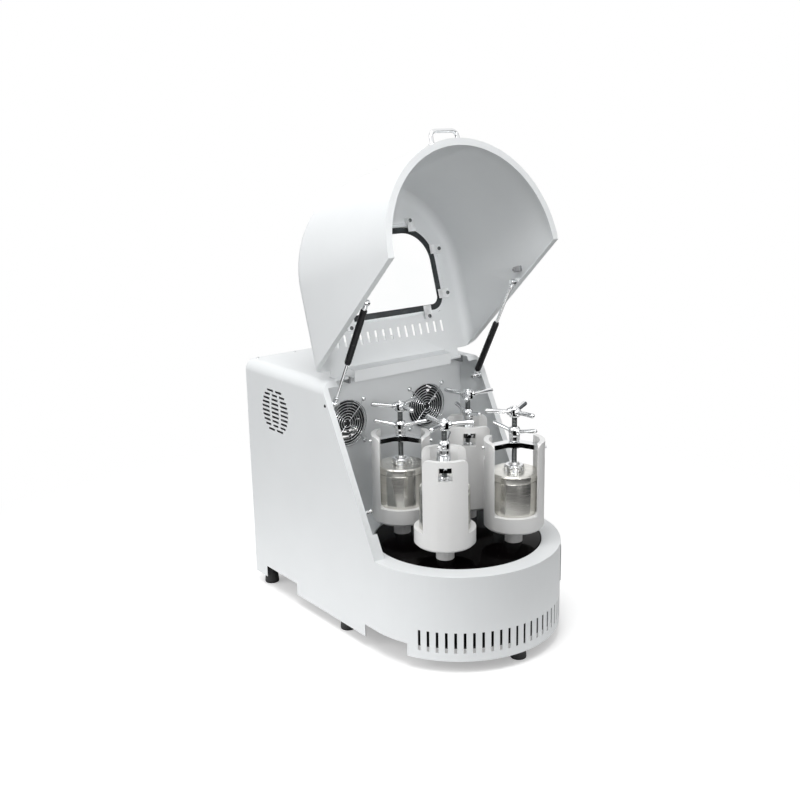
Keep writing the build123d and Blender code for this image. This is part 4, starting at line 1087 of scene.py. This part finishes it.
class MILL_OT_hood(bpy.types.Operator):
    """Finish the hood with its window, seal, clips and handle."""

    bl_idname = "mill.hood"
    bl_label = "Hood"

    def execute(self, context):
        dressed("lid_shell", "HoodShell", finish["coat"], 0.6)
        dressed("window_gasket", "WindowSeal", finish["seal"], 0.5)
        dressed("window_clips", "WindowClips", finish["clip"], 0.9, 3)
        dressed("lid_window", "WindowPane", finish["clear"], 0.3)
        self.handle()
        self.screws()
        self.locks()
        return {"FINISHED"}

    @staticmethod
    def handle():
        """A bright bow with round flanges where it meets the hood."""
        half, height, thick = 36 * MM, 262 * MM, 4.6 * MM
        wall = turntable_y - sqrt(0.235**2 - half**2)
        front = turntable_y - 0.235 - 27 * MM
        place = hood_open()
        corners = [(-half, wall + 2 * MM, height), (-half, front, height), (half, front, height),
                   (half, wall + 2 * MM, height)]
        form = bmesh.new()
        add_tube(form, [place @ p for p in bent_path(corners, 26 * MM, 10)], thick, 24)
        for x in (-half, half):
            flange = place @ along_y(x, wall + 1 * MM, height, -1)
            add_turned(form,
                       rounded([(0, 0), (9 * MM, 0), (9 * MM, 2.6 * MM), (6.4 * MM, 5 * MM), (0, 5 * MM)],
                                     0.8 * MM), flange, 40)
        piece("HoodHandle", mesh_of(form, "HoodHandle"), "lid", "polished_steel", finish["chrome"],
              "lid_handle")

    @staticmethod
    def locks():
        """A small steel catch with its bolt on each wall of the hood."""
        place = hood_open()
        form = bmesh.new()
        low = Vector((222.6 * MM, turntable_y + 31.6 * MM, 351.6 * MM))
        high = Vector((232.8 * MM, turntable_y + 44.4 * MM, 372.4 * MM))
        for side in (-1, 1):
            a = Vector((side * low.x, low.y, low.z))
            b = Vector((side * high.x, high.y, high.z))
            corners = [Vector(map(min, a, b)), Vector(map(max, a, b))]
            add_block(form, *corners, 1.4 * MM, place, 3)
            bolt = place @ along_x(side * 223 * MM, turntable_y + 38 * MM, 0.368, -side)
            add_turned(form, rounded([(0, 0), (3.4 * MM, 0), (3.4 * MM, 4 * MM), (0, 5 * MM)], 0.6 * MM),
                       bolt, 24)
        piece("HoodLocks", mesh_of(form, "HoodLocks"), "lid", "polished_steel", finish["plated"])

    @staticmethod
    def screws():
        place = hood_open()
        under = roof_height - 11 * MM
        turn = place.to_3x3()
        facing = turn @ Vector((0, 0, -1))
        edge = 178.2 * MM + 5.6 * MM
        spots = [(edge, turntable_y - 60 * MM), (edge, turntable_y + 50 * MM), (112 * MM, -0.2732 - 5.6 * MM),
                 (115 * MM, -0.0498 + 5.6 * MM)]
        places = []
        for x, y in spots:
            for side in (-1, 1):
                places.append((place @ Vector((side * x, y, under)), facing))
        fittings("ClipScrews", "lid", "polished_steel", finish["thread"], places, 4.6 * MM)
        rear = [((x, 0.368, roof_height - 0.2 * MM), (0, 0, 1)) for x in (-0.205, -0.099, 0, 0.099, 0.205)]
        fittings("RoofScrews", "base", "polished_steel", finish["chrome"], rear, 3.4 * MM)


class MILL_OT_springs(bpy.types.Operator):
    """Make the two gas springs with their ball joints and studs."""

    bl_idname = "mill.springs"
    bl_label = "Gas springs"

    def execute(self, context):
        low = Vector((0, *spring_low))
        high = Vector((0, *spring_high))
        length = (high - low).length
        lean = atan2(-(high.y - low.y), high.z - low.z)
        for side, name, tube_body, rod_body in ((-1, "left", "left_cylinder", "left_rod"),
                                                (1, "right", "right_cylinder", "right_rod")):
            x = side * 208 * MM
            place = Matrix.Translation((x, low.y, low.z)) @ Matrix.Rotation(lean, 4, "X")
            flip = place
            if side > 0:
                flip = place @ Matrix.Translation((0, 0, length)) @ Matrix.Rotation(pi, 4, "X")
            self.rod(name, rod_body, flip, length)
            self.tube(name, tube_body, flip, length)
        self.studs()
        return {"FINISHED"}

    @staticmethod
    def eye(form, place, height, up):
        """A turned socket end over a ball, from height towards the rod or tube."""
        step = 1 if up else -1
        ball = [(7.6 * MM * cos(a), height + 7.6 * MM * sin(a) * step) for a in
                (-pi / 2 + 0.001, -pi / 3, -pi / 6, 0, pi / 6, pi / 3)]
        neck = [(5.4 * MM, height + step * 8 * MM), (5.4 * MM, height + step * 17 * MM),
                (4.4 * MM, height + step * 19 * MM), (0, height + step * 19 * MM)]
        add_turned(form, [(0, ball[0][1]), *ball[1:], *neck], place, 32)
        cap = place @ Matrix.Translation((0, 0, height)) @ Matrix.Rotation(pi / 2, 4, "Y")
        add_turned(form,
                   rounded([(0, -6.2 * MM), (6 * MM, -6.2 * MM), (6.8 * MM, -4 * MM), (6.8 * MM, 4 * MM),
                                  (6 * MM, 6.2 * MM), (0, 6.2 * MM)], 0.8 * MM), cap, 32)

    def rod(self, name, body, place, length):
        tube_start = length - 162 * MM
        form = bmesh.new()
        add_turned(form, [(0, 12 * MM), (3.5 * MM, 12 * MM), (3.5 * MM, tube_start + 14 * MM),
                          (0, tube_start + 14 * MM)], place, 32)
        self.eye(form, place, 0, True)
        if name == "right":
            self.pad_stub(form, 1, place @ Vector((0, 0, 0)))
        piece(f"{name.title()}SpringRod", mesh_of(form, "SpringRod"), body, "polished_steel",
              finish["chrome"],
              f"{name}_spring_rod")

    def tube(self, name, body, place, length):
        start = length - 162 * MM
        end = length - 16 * MM
        form = bmesh.new()
        outline = rounded([(3.9 * MM, start), (6.4 * MM, start), (6.6 * MM, start + 3 * MM),
                           (7.5 * MM, start + 4 * MM), (7.5 * MM, start + 12 * MM),
                           (7.1 * MM, start + 13 * MM),
                           (7.5 * MM, start + 14 * MM), (7.5 * MM, end - 4 * MM), (5.6 * MM, end),
                           (0, end)], 0.6 * MM)
        add_turned(form, outline, place, 40)
        made = piece(f"{name.title()}SpringTube", mesh_of(form, "SpringTube"), body, "spring_black",
                     finish["black"], f"{name}_spring_cylinder")
        ends = bmesh.new()
        self.eye(ends, place, length, False)
        if name == "left":
            self.pad_stub(ends, -1, place @ Vector((0, 0, length)))
        piece(f"{name.title()}SpringEnd", mesh_of(ends, "SpringEnd"), body, "polished_steel",
              finish["chrome"])
        return made

    @staticmethod
    def pad_stub(form, side, spot):
        """The ball stud's shank that reaches towards the hood's wall."""
        place = along_x(spot.x, spot.y, spot.z, side)
        add_turned(form, rounded([(0, 0), (4.6 * MM, 0), (4.6 * MM, 9.6 * MM), (0, 9.6 * MM)], 0.5 * MM),
                   place, 24)

    @staticmethod
    def studs():
        """Lower studs with hexagon collars, and the short lock pin on the left flange."""
        form = bmesh.new()
        y, z = spring_low

        def hexagon(angle, k):
            return cos(pi / 6) / cos((angle % (pi / 3)) - pi / 6) if 2 <= k <= 9 else 1

        for side in (-1, 1):
            place = along_x(side * 199 * MM, y, z, side)
            add_turned(form, rounded([(0, 0), (4 * MM, 0), (4 * MM, 36 * MM), (0, 36 * MM)], 0.5 * MM),
                       place, 24)
            collar = [(0, 15.3 * MM), (5 * MM, 15.3 * MM), (7 * MM, 16 * MM), (7 * MM, 21 * MM),
                      (9 * MM, 21.2 * MM), (9.4 * MM, 21.8 * MM), (9.4 * MM, 34 * MM), (0, 34 * MM)]
            add_turned(form, collar, place, 48)
            cap = [(0, -1.2 * MM), (4.6 * MM, -1 * MM), (5.6 * MM, 0), (5.6 * MM, 2.4 * MM), (0, 2.4 * MM)]
            add_turned(form, cap, place, 32)
        low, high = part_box("housing_studs")
        slope = (0.317 - deck_height) / (roof_height - deck_height)
        pin_y = turntable_y + 0.1886 * slope + 0.9 * MM
        place = along_x(-0.2198, pin_y, 0.317, 1)
        add_turned(form,
                   rounded([(0, 0), (4 * MM, 0), (4 * MM, 7 * MM), (3.2 * MM, 8 * MM), (3.2 * MM, 10 * MM),
                                  (5 * MM, 11 * MM), (5 * MM, 15 * MM), (3.6 * MM, 17 * MM), (0, 17 * MM)],
                                 0.6 * MM), place, 32)
        piece("Studs", mesh_of(form, "Studs"), "base", "polished_steel", finish["chrome"], "housing_studs")


class MILL_OT_controls(bpy.types.Operator):
    """Finish the control panel, the button, the inlet and the rocker."""

    bl_idname = "mill.controls"
    bl_label = "Controls and inlet"

    def execute(self, context):
        dressed("control_panel", "ControlPanel", finish["panel"], 0.5)
        dressed("start_button", "StartButton", finish["plastic"], 0.8, 3)
        dressed("power_inlet", "PowerInlet", finish["plastic"], 0.6, 3)
        dressed("power_switch", "PowerSwitch", finish["plastic"], 0.6, 3)
        form = bmesh.new()
        for x, z in ((-0.147, 0.117), (-0.133, 0.117), (-0.140, 0.123)):
            add_block(form, (x - 2 * MM, 0.3575, z - 0.8 * MM), (x + 2 * MM, 0.374, z + 0.8 * MM), 0.3 * MM)
        piece("InletPins", mesh_of(form, "InletPins"), "base", "machined_steel", finish["alloy"])
        spots = [(x, z) for x in (-0.203, -0.068, 0.068, 0.203) for z in (0.076, 0.404)]
        spots += [(x, z) for x in (-0.203, 0.203) for z in (0.185, 0.295)]
        places = [((x, 0.3788, z), (0, 1, 0)) for x, z in spots]
        fittings("RearScrews", "base", "polished_steel", finish["plated"], places, 3.8 * MM)
        return {"FINISHED"}


class MILL_OT_studio(bpy.types.Operator):
    """Set the camera, the floor, the lamps and the white surroundings."""

    bl_idname = "mill.studio"
    bl_label = "Studio"

    def execute(self, context):
        sizes = context.scene.mill_studio
        self.camera(context)
        self.floor(context)
        self.surroundings(context, sizes.sky)
        self.cards(context)
        self.lamp(context, "KeyLamp", (-3.0, 0.6, 1.7), (0, 0.1, 0.5), 2.0, sizes.key_power)
        self.lamp(context, "TopLamp", (-0.7, -0.6, 2.6), (0, 0.1, 0.5), 1.2, sizes.top_power)
        self.spot(context, "HoodLamp", (-0.4, -1.6, 1.0), (0.02, 0.15, 0.68), sizes.hood_power)
        context.scene.view_settings.view_transform = "Standard"
        return {"FINISHED"}

    @staticmethod
    def camera(context):
        place = Vector((-1.5080, -1.9245, 1.1540))
        aim = Vector((-0.1573, -0.1440, 0.5708))
        data = bpy.data.cameras.new("Camera")
        data.sensor_width = 36.0
        data.lens = 48.82
        data.clip_end = 50.0
        made = bpy.data.objects.new("Camera", data)
        context.scene.collection.objects.link(made)
        look = (aim - place).to_track_quat("-Z", "Y").to_matrix().to_4x4()
        made.matrix_world = Matrix.Translation(place) @ look @ Matrix.Rotation(radians(-1.114), 4, "Z")
        context.scene.camera = made

    @staticmethod
    def floor(context):
        form = bmesh.new()
        bmesh.ops.create_grid(form, x_segments=1, y_segments=1, size=12)
        mesh = bpy.data.meshes.new("Floor")
        form.to_mesh(mesh)
        form.free()
        made = bpy.data.objects.new("Floor", mesh)
        context.scene.collection.objects.link(made)
        material, tree, shader = new_finish("FloorPaper")
        shader.inputs["Base Color"].default_value = (0.92, 0.92, 0.92, 1)
        shader.inputs["Roughness"].default_value = 0.9
        shader.inputs["Specular IOR Level"].default_value = 0.0
        path = node(tree, "ShaderNodeLightPath")
        seen = node(tree, "ShaderNodeMath", operation="MAXIMUM")
        tree.links.new(path.outputs["Is Camera Ray"], seen.inputs[0])
        tree.links.new(path.outputs["Is Transmission Ray"], seen.inputs[1])
        lift = node(tree, "ShaderNodeMath", operation="MULTIPLY")
        tree.links.new(seen.outputs[0], lift.inputs[0])
        lift.inputs[1].default_value = 0.34
        shader.inputs["Emission Color"].default_value = (1, 1, 1, 1)
        tree.links.new(lift.outputs[0], shader.inputs["Emission Strength"])
        # Far from the mill the paper runs out into the white backdrop
        spot = node(tree, "ShaderNodeTexCoord")
        away = node(tree, "ShaderNodeVectorMath", operation="LENGTH")
        tree.links.new(spot.outputs["Object"], away.inputs[0])
        fade = node(tree, "ShaderNodeMapRange", interpolation_type="SMOOTHSTEP")
        fade.inputs["From Min"].default_value = 0.5
        fade.inputs["From Max"].default_value = 1.5
        tree.links.new(away.outputs["Value"], fade.inputs["Value"])
        white = node(tree, "ShaderNodeEmission")
        blend = node(tree, "ShaderNodeMixShader")
        tree.links.new(fade.outputs["Result"], blend.inputs[0])
        tree.links.new(shader.outputs[0], blend.inputs[1])
        tree.links.new(white.outputs[0], blend.inputs[2])
        tree.links.new(blend.outputs[0], tree.nodes["Material Output"].inputs["Surface"])
        tree.links.new(seen.outputs[0], white.inputs["Strength"])
        mesh.materials.append(material)

    @staticmethod
    def spot(context, name, place, aim, power):
        """A soft spot that fills the hood and the chamber and spares the nose."""
        spot_width, spot_edge, spot_softness = 30, 0.8, 0.3
        light = bpy.data.lights.new(name, "SPOT")
        light.energy = power
        light.spot_size = radians(spot_width)
        light.spot_blend = spot_edge
        light.shadow_soft_size = spot_softness
        made = bpy.data.objects.new(name, light)
        made.location = place
        made.rotation_euler = (Vector(aim) - Vector(place)).to_track_quat("-Z", "Y").to_euler()
        context.scene.collection.objects.link(made)

    @staticmethod
    def cards(context):
        """Dark boards that only the bright metal mirrors, which gives it its contrast."""
        material, tree, shader = new_finish("DarkBoard")
        shader.inputs["Base Color"].default_value = (0.26, 0.275, 0.29, 1)
        shader.inputs["Roughness"].default_value = 1.0
        shader.inputs["Specular IOR Level"].default_value = 0.0
        for turn, width in ((2, 1.7), (108, 1.7), (293, 0.55), (173, 0.55)):
            form = bmesh.new()
            place = turn_z(turn) @ Matrix.Translation((2.6, 0, 1.0)) @ Matrix.Rotation(pi / 2, 4, "Y")
            bmesh.ops.create_grid(form, x_segments=1, y_segments=1, size=0.5,
                                  matrix=place @ Matrix.Diagonal((2.4, width, 1, 1)))
            mesh = bpy.data.meshes.new("Board")
            form.to_mesh(mesh)
            form.free()
            mesh.materials.append(material)
            made = bpy.data.objects.new("Board", mesh)
            context.scene.collection.objects.link(made)
            made.visible_camera = False
            made.visible_diffuse = False
            made.visible_transmission = False
            made.visible_shadow = False

    @staticmethod
    def surroundings(context, sky):
        sky_above = 1.25
        world = bpy.data.worlds.new("Studio")
        context.scene.world = world
        world.use_nodes = True
        tree = world.node_tree
        back = tree.nodes["Background"]
        path = node(tree, "ShaderNodeLightPath")
        first = node(tree, "ShaderNodeMath", operation="MAXIMUM")
        seen = node(tree, "ShaderNodeMath", operation="MAXIMUM")
        tree.links.new(path.outputs["Is Camera Ray"], first.inputs[0])
        tree.links.new(path.outputs["Is Glossy Ray"], first.inputs[1])
        tree.links.new(first.outputs[0], seen.inputs[0])
        tree.links.new(path.outputs["Is Transmission Ray"], seen.inputs[1])
        strength = node(tree, "ShaderNodeMapRange")
        tree.links.new(seen.outputs[0], strength.inputs["Value"])
        # The even light is a little stronger from above
        spot = node(tree, "ShaderNodeTexCoord")
        split = node(tree, "ShaderNodeSeparateXYZ")
        tree.links.new(spot.outputs["Generated"], split.inputs[0])
        fall = node(tree, "ShaderNodeMapRange")
        fall.inputs["To Min"].default_value = sky
        fall.inputs["To Max"].default_value = sky * sky_above
        tree.links.new(split.outputs["Z"], fall.inputs["Value"])
        tree.links.new(fall.outputs["Result"], strength.inputs["To Min"])
        strength.inputs["To Max"].default_value = 1.0
        tree.links.new(strength.outputs["Result"], back.inputs["Strength"])
        back.inputs["Color"].default_value = (1, 1, 1, 1)

    @staticmethod
    def lamp(context, name, place, aim, size, power):
        data = bpy.data.lights.new(name, "AREA")
        data.shape = "SQUARE"
        data.size = size
        data.energy = power
        made = bpy.data.objects.new(name, data)
        context.scene.collection.objects.link(made)
        look = (Vector(aim) - Vector(place)).to_track_quat("-Z", "Y").to_matrix().to_4x4()
        made.matrix_world = Matrix.Translation(place) @ look


class MILL_PT_panel(bpy.types.Panel):
    """Lists the steps that build the mill."""

    bl_idname = "MILL_PT_panel"
    bl_label = "Ball Mill"
    bl_space_type = "VIEW_3D"
    bl_region_type = "UI"
    bl_category = "Ball Mill"

    def draw(self, context):
        layout = self.layout
        scene = context.scene
        groups = (scene.mill_finish, scene.mill_clamp, scene.mill_guard, scene.mill_studio)
        for group in groups:
            box = layout.box()
            for name in group.bl_rna.properties.keys():
                if name not in ("rna_type", "name"):
                    box.prop(group, name)
        for step in STEPS:
            layout.operator(step.bl_idname)


STEPS = (
    MILL_OT_finishes,
    MILL_OT_housing,
    MILL_OT_feet,
    MILL_OT_turntable,
    MILL_OT_pots,
    MILL_OT_clamps,
    MILL_OT_fans,
    MILL_OT_hood,
    MILL_OT_springs,
    MILL_OT_controls,
    MILL_OT_studio,
)
SETTINGS = {
    "mill_finish": MillFinishSettings,
    "mill_clamp": MillClampSettings,
    "mill_guard": MillGuardSettings,
    "mill_studio": MillStudioSettings,
}


def register():
    for name, group in SETTINGS.items():
        bpy.utils.register_class(group)
        setattr(bpy.types.Scene, name, PointerProperty(type=group))
    for step in STEPS:
        bpy.utils.register_class(step)
    bpy.utils.register_class(MILL_PT_panel)


def unregister():
    bpy.utils.unregister_class(MILL_PT_panel)
    for step in reversed(STEPS):
        bpy.utils.unregister_class(step)
    for name, group in SETTINGS.items():
        delattr(bpy.types.Scene, name)
        bpy.utils.unregister_class(group)


def main():
    register()
    bpy.ops.mill.finishes()
    bpy.ops.mill.housing()
    bpy.ops.mill.feet()
    bpy.ops.mill.turntable()
    bpy.ops.mill.pots()
    bpy.ops.mill.clamps()
    bpy.ops.mill.fans()
    bpy.ops.mill.hood()
    bpy.ops.mill.springs()
    bpy.ops.mill.controls()
    bpy.ops.mill.studio()


if __name__ == "__main__":
    main()
